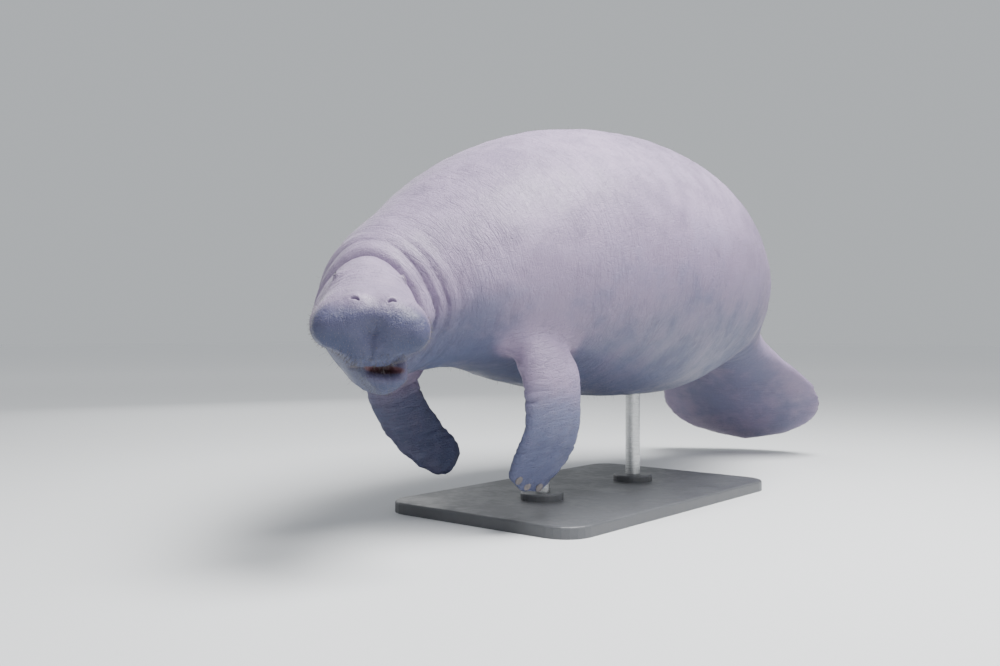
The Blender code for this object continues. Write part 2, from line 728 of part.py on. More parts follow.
def paint(obj, colour, roughness, metallic=0.0):
    """Gives an object a material of its own, and smooth shading."""
    material = bpy.data.materials.new(obj.name)
    material.use_nodes = True
    shader = material.node_tree.nodes["Principled BSDF"]
    shader.inputs["Base Color"].default_value = (*colour, 1)
    shader.inputs["Roughness"].default_value = roughness
    shader.inputs["Metallic"].default_value = metallic
    obj.data.materials.clear()
    obj.data.materials.append(material)
    obj.data.shade_smooth()
    obj.data.set_sharp_from_angle(angle=math.radians(50))


def clear_scene():
    """Removes the objects that a new file starts with."""
    for obj in list(bpy.data.objects):
        bpy.data.objects.remove(obj)


def main():
    clear_scene()
    set_height()
    body = build_body()
    jaw = build_jaw(body)
    open_mouth(body, jaw)
    eyes = build_eyes(body)
    cut_nostrils(body["muzzle"])
    for obj in (*body.values(), jaw):
        paint(obj, SKIN, 0.55)
    for eye in eyes.values():
        paint(eye, EYE_BLACK, 0.08)
    for side in FLIPPER_PATHS:
        blade, *nails = Flipper(side).build()
        paint(blade, BELLY_SKIN, 0.55)
        for nail in nails:
            paint(nail, NAIL_HORN, 0.35)
    for piece in build_stand():
        if "rod" in piece.name:
            paint(piece, ROD_STEEL, 0.32, 1.0)
        else:
            paint(piece, STAND_GREY, 0.45)


main()
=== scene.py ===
"""Looks of a life-size still model of a manatee: one wrinkled hide over the solids of the body, wet eyes,
horn nails, bristles, sparse body hairs and a painted display stand, in soft studio light.

Patterns that follow the body use its straight frame: x to the animal's left, the station back from the
snout, and z up from the spine. The spine is the one that the solids were posed on.
"""

import itertools
import math
import random

import bmesh
import bpy
import numpy as np
from mathutils import Matrix, Vector, noise
from mathutils.bvhtree import BVHTree


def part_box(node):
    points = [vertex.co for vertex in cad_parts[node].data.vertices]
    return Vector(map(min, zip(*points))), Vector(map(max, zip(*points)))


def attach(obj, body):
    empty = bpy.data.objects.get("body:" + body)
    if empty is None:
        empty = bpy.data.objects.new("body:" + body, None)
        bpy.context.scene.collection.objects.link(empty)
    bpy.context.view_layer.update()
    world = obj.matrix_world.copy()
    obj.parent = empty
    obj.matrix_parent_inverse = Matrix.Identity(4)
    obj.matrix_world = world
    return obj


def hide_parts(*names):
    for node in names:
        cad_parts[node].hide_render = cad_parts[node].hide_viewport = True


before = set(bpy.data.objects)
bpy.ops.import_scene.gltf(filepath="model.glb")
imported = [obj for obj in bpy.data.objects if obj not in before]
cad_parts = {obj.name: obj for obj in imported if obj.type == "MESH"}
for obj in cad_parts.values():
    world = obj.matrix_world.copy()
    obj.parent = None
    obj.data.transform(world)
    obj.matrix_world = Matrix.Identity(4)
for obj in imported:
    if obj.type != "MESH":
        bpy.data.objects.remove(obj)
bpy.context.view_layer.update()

# Spine of the posed body: its length, the station over the origin, and that station's height over the
# floor.
BODY_LENGTH = 3.0
ANCHOR_STATION = 1.30
ANCHOR_HEIGHT = 0.7135
PITCH = ((0.0, 2.0), (0.24, 3.0), (0.42, 14.0), (0.60, 16.0), (0.90, 9.0), (1.30, 0.0), (1.70, -9.0),
         (2.05, -19.0), (2.35, -32.0), (2.60, -39.0), (3.0, -43.0))
YAW = ((0.0, 51.0), (0.24, 50.0), (0.36, 34.0), (0.46, 11.0), (0.60, -4.0), (0.90, -3.5), (1.30, 0.0),
       (1.55, 0.0), (2.00, 6.0), (2.35, 13.0), (3.0, 22.0))
ROLL = ((0.0, 3.5), (0.26, 3.0), (0.60, 0.0), (3.0, 0.0))
SPINE_STEP = 0.005
SPINE_MARGIN = 0.06

# Search for a point's station: every so many samples, so many points at a time, and the cost of no
# crossing.
SEARCH_STRIDE = 4
SEARCH_CHUNK = 20000
NO_CROSSING = 1e6

# Nodes that the hide covers.
FLESH = ("muzzle", "head", "neck", "chest", "belly", "rump", "tail_stock", "tail_paddle", "lower_jaw",
         "flipper_left", "flipper_right")

# Making of the hide: overlap that closes the gaps between nodes, voxel, passes of smoothing, and
# triangles kept.
NODE_SWELL = 0.0006
VOXEL = 0.006
SMOOTH_PASSES = 60
INFLATE_PASSES = 40
HIDE_TRIANGLES = 194000
HEAD_END = 0.47

# Shares of their reach within which the regions round the eyes, nostrils and ears are divided, once for
# each.
DIVIDED_SHARES = (1.0, 0.62)

# Share of its triangles that the hide keeps by station, the share on the flippers, and how finely it is
# graded.
KEPT_SHARE = ((0.0, 1.0), (0.38, 1.0), (0.50, 0.45), (0.70, 0.12), (2.0, 0.12), (2.4, 0.2), (3.0, 0.3))
KEPT_ON_FLIPPERS = 0.45
KEPT_LEVELS = 20

# Softness of the smoothing by station, from 0 for none to 1 for most.
SOFTNESS = ((0.0, 0.04), (0.15, 0.05), (0.30, 0.06), (0.36, 0.05), (0.50, 0.16), (0.70, 0.75), (0.95, 1.0),
            (2.00, 1.0), (2.35, 0.45), (2.60, 0.25), (2.80, 0.12), (3.0, 0.06))
FLIPPER_SOFTNESS = 0.07
THROAT_SOFTNESS = 0.45
SHOULDER_REACH = 0.075
SHOULDER_SOFTNESS = 0.85
SHOULDER_PASSES = 45

# Folds round the neck: station, depth, and the share of it left over the nape.
NECK_FOLDS = ((0.335, 0.012, 1.0), (0.388, 0.010, 0.18), (0.440, 0.0055, 0.05), (0.494, 0.003, 0.0))
FOLD_WIDTH = 0.0055
FOLD_SLANT = 0.16
FOLD_SLANT_REACH = 0.14
NECK_WRINKLE_DEPTH = 0.0022

# Lines of the head, as depth and spacing: across the bridge, down the cheeks, on the hem of the upper
# lip and under the chin; and the depth and width of the cleft in the upper lip.
BRIDGE_WRINKLE = (0.0016, 0.0165)
CHEEK_WRINKLE = (0.0018, 0.024)
HEM_PLEAT = (0.0016, 0.0155)
CHIN_GROOVE = (0.0016, 0.019)
LIP_CLEFT = (0.0040, 0.007)

# Trunk and tail: depth of the upright wrinkles, folds before the tail as station and depth, and the
# station that the paddle's ribs fan out from, their number and their height.
TRUNK_WRINKLE_DEPTH = 0.0024
TAIL_FOLDS = ((2.03, 0.0030), (2.12, 0.0045), (2.20, 0.0050), (2.27, 0.0045), (2.335, 0.0040))
PADDLE_FAN = 2.25
PADDLE_RIBS = 34
PADDLE_RIB_HEIGHT = 0.0008

# Flippers: how far below the shoulder the elbow and the wrist lie, the reach of their wrinkles, the
# depth of those on the shoulder, spacing and depth of the folds across them, and spacing and height of
# the fingers under the hide.
FLIPPER_ELBOW = 0.17
FLIPPER_WRIST = 0.30
FLIPPER_REACH = 0.55
SHOULDER_WRINKLE_DEPTH = 0.0030
FOLD_STEP = 0.027
FOLD_DEPTH = 0.0024
FINGER_STEP = 0.040
FINGER_HEIGHT = 0.0017

# The two sides of the head, with the sign of x on each.
SIDES = {"left": 1, "right": -1}

# Eyes: half length and half height of the opening, share of the lower lid's arch, thickness of the lids
# and how softly they meet the head, reach of the wrinkles round them, how far the hide sinks behind the
# opening, and how far the eyes turn outward.
EYE_OPENING = (0.0074, 0.0046)
LOWER_ARCH = 0.85
LID = 0.0016
LID_BLEND = 0.0035
LID_REACH = 0.034
EYE_SINK = 0.0028
EYE_SPLAY = 0.4

# Bulge over the iris: where it starts, as a share of the eye's radius, and its height as such a share.
IRIS_EDGE = 0.55
IRIS_BULGE = 0.07

# Degrees from the eye's axis over which its pupil gives way to the iris, and the iris to the dark white
# of the eye.
PUPIL_EDGE = (13.0, 16.0)
IRIS_RIM = (31.0, 37.0)

# Relief round the eyes: height, distance and width of the lid's rim, depth, distance and width of the
# ring folds, and height, number and wander of the wrinkles that spread from the eye.
LID_RIM = (0.0011, 0.0012, 0.0014)
LID_RINGS = ((0.0011, 0.0150, 0.0018), (0.0007, 0.0205, 0.0020))
LID_SPOKES = (0.0003, 11, 3)

# Nostrils: place on the left as x, station and z, share of forward, outward and up in the way they
# face, radius of the crescent, its tilt, half angle, width and depth, and the reach of its shaping.
NOSTRIL_PLACE = (0.037, 0.0167, 0.0444)
NOSTRIL_FACING = (0.62, 0.30, 0.72)
NOSTRIL_RADIUS = 0.0115
NOSTRIL_TILT = math.radians(24)
NOSTRIL_SPAN = math.radians(62)
NOSTRIL_WIDTH = 0.0024
NOSTRIL_DEPTH = 0.0080
NOSTRIL_REACH = 0.030

# Ear pits, a little behind and below the eyes.
EAR_STATION = 0.262
EAR_TURN = math.radians(33)
EAR_RADIUS = 0.0024
EAR_DEPTH = 0.003

# Ridges along the nails: their height, and their spacing over two pi.
NAIL_RIDGE_HEIGHT = 0.0003
NAIL_RIDGE_REACH = 0.0011

# Mouth, in the straight frame.
MOUTH_PLACE = (0.034, 0.076, -0.101)
MOUTH_REACH = (0.046, 0.036, 0.0075)

# Line between the upper lip and the jaw: reach to either side, depth, and the stations that it fades
# between.
LIP_REACH = 0.012
LIP_DEPTH = 0.0060
LIP_CORNER = (0.150, 0.190)

# Single hairs: sides, rings between root and tip, radius of the tip as a share of the width, depth of
# the root under the hide, places tried for each hair, and size of a hair's patch on the coat's map.
HAIR_SIDES = 4
HAIR_RINGS = 3
HAIR_TIP = 0.12
HAIR_ROOT = 0.0015
TRIES_PER_HAIR = 2.5
COAT_PATCH = 0.003

# Camera: place, turn from -Y towards -X of its forward direction, lens and sensor in millimetres, and
# reach.
CAMERA_PLACE = (1.750, -2.513, 0.507)
CAMERA_AZIMUTH = math.radians(40)
CAMERA_LENS = 36.0
SENSOR_WIDTH = 36.0
CAMERA_REACH = 200.0

# Studio: half the floor's side, distances over which the floor pales, strength of the surroundings, the
# point that the lights face, and the lights as name, place, side and power.
FLOOR_SIZE = 40.0
FLOOR_PALING = (3.0, 11.0)
BACKDROP_STRENGTH = 0.62
LIGHT_TARGET = (0.0, 0.1, 0.70)
LIGHTS = (
    ("overhead", (1.6, -0.2, 3.8), 2.4, 520.0),
    ("near_fill", (3.6, -3.6, 2.6), 3.0, 14.0),
    ("far_fill", (-3.8, 1.6, 2.2), 3.0, 40.0),
)

# Where the painted shade of the underside sets in, by how far the hide faces up, eases on the tail, by
# station, and takes over down the flippers, by height.
UNDER_SHADE_FACING = (0.55, -0.75)
TAIL_SHADE_EASING = (2.1, 2.5)
BLADE_SHADE_SPAN = (0.43, 0.27)

# Colours, in linear light.
BACK_MAUVE = (0.272, 0.210, 0.325)
# Painted shade of the underside and of the lower flippers.
UNDER_SHADE_SLATE = (0.080, 0.094, 0.168)
# Darker mottle at random, and painted shade in the creases.
MOTTLE_AND_CREASE_SHADE = (0.095, 0.076, 0.125)
PALE_BLOOM = (0.450, 0.355, 0.510)
LIP_ROSE = (0.105, 0.036, 0.040)
# Painted shade on the muzzle's front, partly its darker bristle pad, on the throat, under the lip's hem and
# on the flipper tips.
DISC_AND_DEEP_SHADE = (0.024, 0.034, 0.088)
# Painted shade round the sunken eye openings and in the seam between the upper lip and the jaw.
EYE_AND_LIP_SEAM_SHADE = (0.090, 0.074, 0.092)
BRISTLE_STRAW = (0.165, 0.148, 0.150)
HAIR_GREY = (0.260, 0.230, 0.250)
NAIL_HORN = (0.105, 0.092, 0.094)
HORN_DARK = (0.062, 0.053, 0.056)
HORN_PALE = (0.150, 0.130, 0.128)
PUPIL_BLACK = (0.002, 0.002, 0.002)
IRIS_DARK = (0.012, 0.007, 0.005)
IRIS_BROWN = (0.045, 0.025, 0.015)
EYE_WHITE = (0.060, 0.042, 0.040)
STAND_PAINT = (0.070, 0.072, 0.078)
STAND_STEEL = (0.560, 0.565, 0.570)
FLOOR_PALE = (0.640, 0.650, 0.655)
FLOOR_FAR = (0.980, 0.980, 0.980)
BACKDROP_PALE = (0.84, 0.88, 0.92)


def curve_through(table, at):
    """Value at a station of a smooth curve through a table's points that never overshoots them."""
    xs = [row[0] for row in table]
    ys = [row[1] for row in table]
    if at <= xs[0]:
        return ys[0]
    if at >= xs[-1]:
        return ys[-1]
    slopes = [(ys[i + 1] - ys[i]) / (xs[i + 1] - xs[i]) for i in range(len(xs) - 1)]

    def tangent(i):
        if i in (0, len(xs) - 1):
            return slopes[min(i, len(slopes) - 1)]
        if slopes[i - 1] * slopes[i] <= 0:
            return 0.0
        return 2 * slopes[i - 1] * slopes[i] / (slopes[i - 1] + slopes[i])

    i = max(k for k in range(len(xs) - 1) if xs[k] <= at)
    width = xs[i + 1] - xs[i]
    t = (at - xs[i]) / width
    return (
        ys[i] * (1 + 2 * t) * (1 - t) ** 2
        + tangent(i) * width * t * (1 - t) ** 2
        + ys[i + 1] * t * t * (3 - 2 * t)
        + tangent(i + 1) * width * t * t * (t - 1)
    )


def table_at(table, values):
    """Straight-line reading of a table at many values."""
    return np.interp(values, [row[0] for row in table], [row[1] for row in table])


def step_up(values, low, high):
    """Smooth rise from 0 at low to 1 at high; a fall where high is less than low."""
    t = np.clip((values - low) / (high - low), 0, 1)
    return t * t * (3 - 2 * t)


def bell(values, width):
    """One at nothing, falling smoothly to nothing over about two widths."""
    return np.exp(-((values / width) ** 2))


def cloud(places, scale, shift=0.0):
    """Smooth noise from about -1 to 1 at each place; the scale may differ by axis."""
    return np.array([noise.noise(Vector(place)) for place in places * np.array(scale) + shift])


def furrows(values, spacing, sharpness):
    """One along evenly spaced lines, falling to nothing between them."""
    return (1 - np.abs(np.sin(math.pi * values / spacing))) ** sharpness


def creases(wave, tightness):
    """One where a wave crosses nothing, falling off sooner the tighter it is."""
    return np.clip(1 - np.abs(wave) * tightness, 0, 1) ** 2


class Spine:
    """The bent line of the body, sampled, with its forward, left and up axes."""

    def __init__(self):
        count = round((BODY_LENGTH + 2 * SPINE_MARGIN) / SPINE_STEP) + 1
        self.stations = np.arange(count) * SPINE_STEP - SPINE_MARGIN
        self.forward = np.array([self.axes(s)[0] for s in self.stations])
        self.left = np.array([self.axes(s)[1] for s in self.stations])
        self.up = np.array([self.axes(s)[2] for s in self.stations])
        middles = np.array([self.axes(s + SPINE_STEP / 2)[0] for s in self.stations[:-1]])
        self.points = np.vstack([np.zeros(3), -np.cumsum(middles * SPINE_STEP, axis=0)])
        anchor = round((ANCHOR_STATION + SPINE_MARGIN) / SPINE_STEP)
        self.points += np.array((0, 0, ANCHOR_HEIGHT)) - self.points[anchor]

    @staticmethod
    def axes(station):
        """Forward, left and up at a station."""
        pitch = math.radians(curve_through(PITCH, station))
        yaw = math.radians(curve_through(YAW, station))
        roll = math.radians(curve_through(ROLL, station))
        level_share = math.cos(pitch)
        forward = Vector((math.sin(yaw) * level_share, -math.cos(yaw) * level_share, -math.sin(pitch)))
        level = Vector((math.cos(yaw), math.sin(yaw), 0))
        left = level * math.cos(roll) - forward.cross(level) * math.sin(roll)
        return forward, left, forward.cross(left)

    def read(self, rows, stations):
        """Values of some of the spine's rows at many stations."""
        return np.stack([np.interp(stations, self.stations, rows[:, axis]) for axis in range(3)], axis=-1)

    def at(self, station):
        """Point, forward, left and up at one station."""
        return [Vector(self.read(rows, station)) for rows in (self.points, self.forward, self.left, self.up)]

    def carry(self, place):
        """World place of a point given in the straight frame."""
        point, _, left, up = self.at(place[1])
        return point + left * place[0] + up * place[2]

    def straight(self, points):
        """Places in the straight frame of many world points, worked out some at a time."""
        rows = slice(None, None, SEARCH_STRIDE)
        planes, forward = self.points[rows], self.forward[rows]
        stations = self.stations[rows]
        level = np.einsum("ij,ij->i", planes, forward)
        found = []
        for start in range(0, len(points), SEARCH_CHUNK):
            part = points[start:start + SEARCH_CHUNK]
            ahead = part @ forward.T - level
            far = ((part[:, None, :] - planes[None, :, :]) ** 2).sum(axis=2)
            crossing = (ahead[:, :-1] <= 0) & (ahead[:, 1:] > 0)
            cost = np.where(crossing, far[:, :-1], NO_CROSSING)
            best = cost.argmin(axis=1)
            pick = np.arange(len(part))
            before, after = ahead[pick, best], ahead[pick, best + 1]
            share = np.clip(-before / np.where(after > before, after - before, 1), 0, 1)
            station = stations[best] + share * (stations[1] - stations[0])
            beyond = np.where(ahead[:, 0] > 0, stations[0], stations[-1])
            station = np.where(cost[pick, best] < NO_CROSSING, station, beyond)
            offset = part - self.read(self.points, station)
            x = np.einsum("ij,ij->i", offset, self.read(self.left, station))
            z = np.einsum("ij,ij->i", offset, self.read(self.up, station))
            found.append(np.stack([x, station, z], axis=1))
        return np.vstack(found)


SPINE = Spine()


class Web:
    """Which points of a mesh are neighbours, to average values over them."""

    def __init__(self, mesh):
        pairs = np.zeros(len(mesh.edges) * 2, np.int32)
        mesh.edges.foreach_get("vertices", pairs)
        pairs = pairs.reshape(-1, 2)
        ends = np.vstack([pairs, pairs[:, ::-1]])
        ends = ends[np.argsort(ends[:, 0], kind="stable")]
        self.others = ends[:, 1]
        self.starts = np.searchsorted(ends[:, 0], np.arange(len(mesh.vertices)))
        self.counts = np.diff(np.append(self.starts, len(ends)))

    def average(self, values):
        """Mean of each point's neighbours."""
        sums = np.add.reduceat(values[self.others], self.starts, axis=0)
        counts = self.counts if values.ndim == 1 else self.counts[:, None]
        return sums / counts

    def soften(self, values, share, passes):
        """Values drawn towards their neighbours' mean, pass after pass."""
        if values.ndim > 1 and np.ndim(share) == 1:
            share = share[:, None]
        for _ in range(passes):
            values = values + share * (self.average(values) - values)
        return values


def read_points(mesh):
    """Places of a mesh's vertices as rows."""
    rows = np.zeros(len(mesh.vertices) * 3, np.float32)
    mesh.vertices.foreach_get("co", rows)
    return rows.reshape(-1, 3).astype(float)


def read_normals(mesh):
    """Normals of a mesh's vertices as rows."""
    rows = np.zeros(len(mesh.vertices) * 3, np.float32)
    mesh.vertex_normals.foreach_get("vector", rows)
    return rows.reshape(-1, 3).astype(float)


def write_points(mesh, rows):
    """Moves a mesh's vertices to new places."""
    mesh.vertices.foreach_set("co", rows.astype(np.float32).ravel())
    mesh.update()


def write_attribute(mesh, name, values):
    """Stores a value or a vector for each vertex."""
    kind, field = ("FLOAT", "value") if values.ndim == 1 else ("FLOAT_VECTOR", "vector")
    attribute = mesh.attributes.new(name, kind, "POINT")
    attribute.data.foreach_set(field, values.astype(np.float32).ravel())


def merged_node(name):
    """Bmesh of a CAD node whose loose triangles are joined."""
    shape = bmesh.new()
    shape.from_mesh(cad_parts[name].data)
    bmesh.ops.remove_doubles(shape, verts=shape.verts, dist=1e-6)
    return shape


def link_object(name, data):
    """New object in the scene."""
    thing = bpy.data.objects.new(name, data)
    bpy.context.scene.collection.objects.link(thing)
    return thing


def mesh_from(name, shape):
    """Mesh made from a bmesh, which is then done with."""
    mesh = bpy.data.meshes.new(name)
    shape.to_mesh(mesh)
    shape.free()
    return mesh


def add_piece(name, shape):
    """Links a bmesh as a smooth piece that rides with the body."""
    piece = link_object(name, mesh_from(name, shape))
    piece.data.shade_smooth()
    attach(piece, "root")
    return piece


def apply_modifiers(piece):
    """Makes a piece's modifiers part of its mesh."""
    graph = bpy.context.evaluated_depsgraph_get()
    piece.data = bpy.data.meshes.new_from_object(piece.evaluated_get(graph))
    piece.modifiers.clear()


def search_tree(meshes):
    """Search tree over some meshes."""
    shape = bmesh.new()
    for mesh in meshes:
        shape.from_mesh(mesh)
    tree = BVHTree.FromBMesh(shape)
    shape.free()
    return tree


def nearness(points, names, reach):
    """One on some nodes, falling to nothing at a distance from them."""
    tree = search_tree(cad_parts[name].data for name in names)
    low = np.min([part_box(name)[0] for name in names], axis=0) - reach
    high = np.max([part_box(name)[1] for name in names], axis=0) + reach
    near = np.flatnonzero(((points > low) & (points < high)).all(axis=1))
    share = np.zeros(len(points))
    for index in near:
        distance = tree.find_nearest(Vector(points[index]), reach)[3]
        if distance is not None:
            share[index] = 1 - distance / reach
    return share * share * (3 - 2 * share)


def flipper_share(points, reach=0.05):
    """One on the flippers, falling to nothing on the chest round their roots."""
    return np.maximum(nearness(points, ["flipper_left"], reach), nearness(points, ["flipper_right"], reach))


def wrap_flesh():
    """One closed, even mesh over every node of flesh."""
    joined = bmesh.new()
    for name in (*FLESH, "eye_left", "eye_right"):
        shape = merged_node(name)
        shape.normal_update()
        for vert in shape.verts:
            vert.co += vert.normal * NODE_SWELL
        part = mesh_from("part", shape)
        joined.from_mesh(part)
        bpy.data.meshes.remove(part)
    hide = add_piece("hide", joined)
    remesh = hide.modifiers.new("wrap", "REMESH")
    remesh.mode = "VOXEL"
    remesh.voxel_size = VOXEL
    apply_modifiers(hide)
    keep_largest_shell(hide.data)
    return hide


def keep_largest_shell(mesh):
    """Drops every closed surface of a mesh but its largest."""
    shape = bmesh.new()
    shape.from_mesh(mesh)
    left = set(shape.verts)
    shells = []
    while left:
        seed = left.pop()
        shell, front = {seed}, [seed]
        while front:
            for edge in front.pop().link_edges:
                for vert in edge.verts:
                    if vert not in shell:
                        shell.add(vert)
                        front.append(vert)
        left -= shell
        shells.append(shell)
    largest = max(shells, key=len)
    bmesh.ops.delete(shape, geom=[vert for vert in shape.verts if vert not in largest], context="VERTS")
    shape.to_mesh(mesh)
    shape.free()


def even_out(hide):
    """Takes the facets off the wrapped mesh and keeps its volume."""
    mesh = hide.data
    web = Web(mesh)
    points = read_points(mesh)
    places = SPINE.straight(points)
    share = table_at(SOFTNESS, places[:, 1])
    on_flipper = flipper_share(points)
    throat = step_up(places[:, 2], -0.06, -0.11) * step_up(places[:, 1], 0.12, 0.17)
    share = np.maximum(share, THROAT_SOFTNESS * throat * step_up(places[:, 1], 0.38, 0.30))
    share = share * (1 - on_flipper) + FLIPPER_SOFTNESS * on_flipper
    share = np.clip(web.soften(share, 0.5, 12), 0, 1)
    smooth = web.soften(points, share, SMOOTH_PASSES)
    write_points(mesh, smooth)
    normals = read_normals(mesh)
    lost = np.einsum("ij,ij->i", points - smooth, normals)
    lost = web.soften(lost, 0.3 + 0.7 * share, INFLATE_PASSES)
    points = smooth + normals * lost[:, None]
    trunk = nearness(points, ["neck", "chest", "belly"], SHOULDER_REACH)
    root = flipper_share(points, SHOULDER_REACH) * trunk
    root = SHOULDER_SOFTNESS * step_up(web.soften(root, 0.6, 6), 0.10, 0.60)
    write_points(mesh, web.soften(points, root, SHOULDER_PASSES))


def subdivide_where(mesh, wanted):
    """Halves the edges whose ends are both wanted."""
    shape = bmesh.new()
    shape.from_mesh(mesh)
    shape.verts.ensure_lookup_table()
    edges = [edge for edge in shape.edges if wanted[edge.verts[0].index] and wanted[edge.verts[1].index]]
    bmesh.ops.subdivide_edges(shape, edges=edges, cuts=1, use_grid_fill=True)
    shape.to_mesh(mesh)
    shape.free()


def settle(mesh, wanted, passes=2):
    """Rounds a freshly divided region without shrinking it."""
    web = Web(mesh)
    points = read_points(mesh)
    share = np.where(wanted, 0.5, 0.0)
    for _ in range(passes):
        points = web.soften(points, share, 1)
        points = web.soften(points, -share * 1.04, 1)
    write_points(mesh, points)


class Patch:
    """A small region of the hide with its own frame: a runs along, b across and w outward."""

    def __init__(self, middle, out, along):
        self.middle = Vector(middle)
        self.out = out.normalized()
        self.along = (along - self.out * self.out.dot(along)).normalized()
        self.across = self.out.cross(self.along)

    def split(self, points):
        """Along, across and outward parts of many points."""
        offset = points - np.array(self.middle)
        return [offset @ np.array(axis) for axis in (self.along, self.across, self.out)]

    def within(self, points, reach):
        """Which points lie within a reach of the middle."""
        return np.linalg.norm(points - np.array(self.middle), axis=1) < reach


def within_any(points, patches, reach):
    """Which points lie within a reach of any of some patches."""
    return np.any([patch.within(points, reach) for patch in patches], axis=0)


def eye_patches(tree):
    """Patch of each eye by side, centred on its ball and looking out of the head."""
    patches = {}
    for side, sign in SIDES.items():
        low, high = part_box("eye_" + side)
        centre = (low + high) / 2
        normal = tree.find_nearest(centre)[1]
        station = SPINE.straight(np.array([centre]))[0][1]
        _, forward, left, _ = SPINE.at(station)
        patches[side] = Patch(centre, (normal + left * (sign * EYE_SPLAY)).normalized(), forward)
    return patches


def nostril_patches(tree):
    """Patch of each nostril, on the top of the snout."""
    patches = []
    x, station, z = NOSTRIL_PLACE
    ahead, outward, above = NOSTRIL_FACING
    _, forward, left, up = SPINE.at(station)
    for sign in SIDES.values():
        place = tree.find_nearest(SPINE.carry((sign * x, station, z)))[0]
        normal = forward * ahead + up * above + left * (sign * outward)
        along = left * math.cos(NOSTRIL_TILT) - forward * (sign * math.sin(NOSTRIL_TILT))
        patches.append(Patch(place, normal, along))
    return patches


def ear_patches(tree):
    """Patch of each ear pit."""
    patches = []
    point, forward, left, up = SPINE.at(EAR_STATION)
    for sign in SIDES.values():
        ray = left * (sign * math.cos(EAR_TURN)) + up * math.sin(EAR_TURN)
        place, normal, _, _ = tree.ray_cast(point, ray)
        patches.append(Patch(place, normal, forward))
    return patches


def eye_radius():
    """Radius of an eyeball, from its node."""
    low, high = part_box("eye_left")
    return max(high - low) / 2


def shape_lids(points, patch):
    """Raises the lids over an eyeball and opens them, with the wrinkles that close them."""
    near = np.flatnonzero(patch.within(points, LID_REACH * 1.6))
    a, b, w = patch.split(points[near])
    ball = eye_radius()
    across = np.hypot(a, b)
    dome = np.sqrt(np.maximum((ball + LID) ** 2 - across**2, 0))
    level = np.maximum(w, dome) + np.maximum(LID_BLEND - np.abs(w - dome), 0) ** 2 / (4 * LID_BLEND)
    level = np.where(across < ball + LID + LID_BLEND, level, w)
    half_long, half_high = EYE_OPENING
    arch = half_high * np.maximum(1 - (a / half_long) ** 2, 0)
    arch = np.where(b > 0, arch, arch * LOWER_ARCH)
    edge = np.where(np.abs(a) < half_long, np.abs(b) - arch, np.hypot(np.abs(a) - half_long, b))
    height, distance, width = LID_RIM
    level += height * bell(edge - distance, width)
    height, number, wander = LID_SPOKES
    spokes = np.sin(number * np.arctan2(b, a) + wander * np.sin(2 * np.arctan2(b, a)))
    fade = step_up(across, 0.006, 0.013) * step_up(across, LID_REACH, 0.014)
    level += height * spokes * fade
    level -= sum(depth * bell(across - distance, width) for depth, distance, width in LID_RINGS)
    under = np.sqrt(np.maximum((ball - EYE_SINK) ** 2 - across**2, 0))
    inside = step_up(edge, 0.0003, -0.0007)
    level = level * (1 - inside) + under * inside
    points[near] += (level - w)[:, None] * np.array(patch.out)


def shape_nostril(points, patch):
    """Crescent slit of a closed nostril, with its raised rim and the valve behind it."""
    near = np.flatnonzero(patch.within(points, NOSTRIL_REACH * 1.3))
    a, b, _ = patch.split(points[near])
    radius = np.hypot(a, b + NOSTRIL_RADIUS)
    turn = np.abs(np.arctan2(a, b + NOSTRIL_RADIUS))
    ends = step_up(turn, NOSTRIL_SPAN, NOSTRIL_SPAN * 0.35)
    slit = bell(radius - NOSTRIL_RADIUS, NOSTRIL_WIDTH * (0.45 + 0.55 * ends)) * ends
    hood = bell(radius - NOSTRIL_RADIUS * 1.65, 0.0060) * step_up(turn, NOSTRIL_SPAN * 1.5, 0.0)
    valve = bell(np.hypot(a, b + NOSTRIL_RADIUS * 0.60), NOSTRIL_RADIUS * 0.85)
    lift = 0.0022 * hood + 0.0012 * valve - NOSTRIL_DEPTH * slit
    points[near] += lift[:, None] * np.array(patch.out)


def shape_ear(points, patch):
    """Small pit of an ear, with a faint ring round it."""
    near = np.flatnonzero(patch.within(points, EAR_RADIUS * 5))
    a, b, _ = patch.split(points[near])
    radius = np.hypot(a, b)
    lift = 0.0008 * bell(radius - EAR_RADIUS * 1.8, EAR_RADIUS) - EAR_DEPTH * bell(radius, EAR_RADIUS)
    points[near] += lift[:, None] * np.array(patch.out)


def neck_station(places):
    """Station of each place before the slant of the neck's folds."""
    slant = FOLD_SLANT * bell(places[:, 1] - NECK_FOLDS[0][0], FOLD_SLANT_REACH)
    return places[:, 1] + slant * places[:, 0]


def neck_relief(places, turn):
    """Deep folds round the neck, soft rolls between them, and fine wrinkles along them."""
    station = neck_station(places)
    wander = cloud(np.stack([np.cos(turn), np.sin(turn), station], axis=1), (1.6, 1.6, 9.0), 3.1)
    height = np.zeros(len(places))
    for number, (place, depth, over_nape) in enumerate(NECK_FOLDS):
        gap = station - place - 0.006 * wander * (number > 0)
        drawn = over_nape + (1 - over_nape) * (1 - np.maximum(0, np.sin(turn)) ** 2)
        height -= depth * drawn * np.exp(-np.abs(gap) / FOLD_WIDTH)
        height += 0.35 * depth * drawn * bell(gap - 0.020, 0.014)
    fine = creases(cloud(places, (7.0, 52.0, 7.0), 11.0), 2.4)
    within = step_up(station, 0.33, 0.37) * step_up(station, 0.66, 0.50)
    nape = 1 - 0.6 * step_up(np.sin(turn), 0.3, 0.9)
    return height - NECK_WRINKLE_DEPTH * fine * within * nape


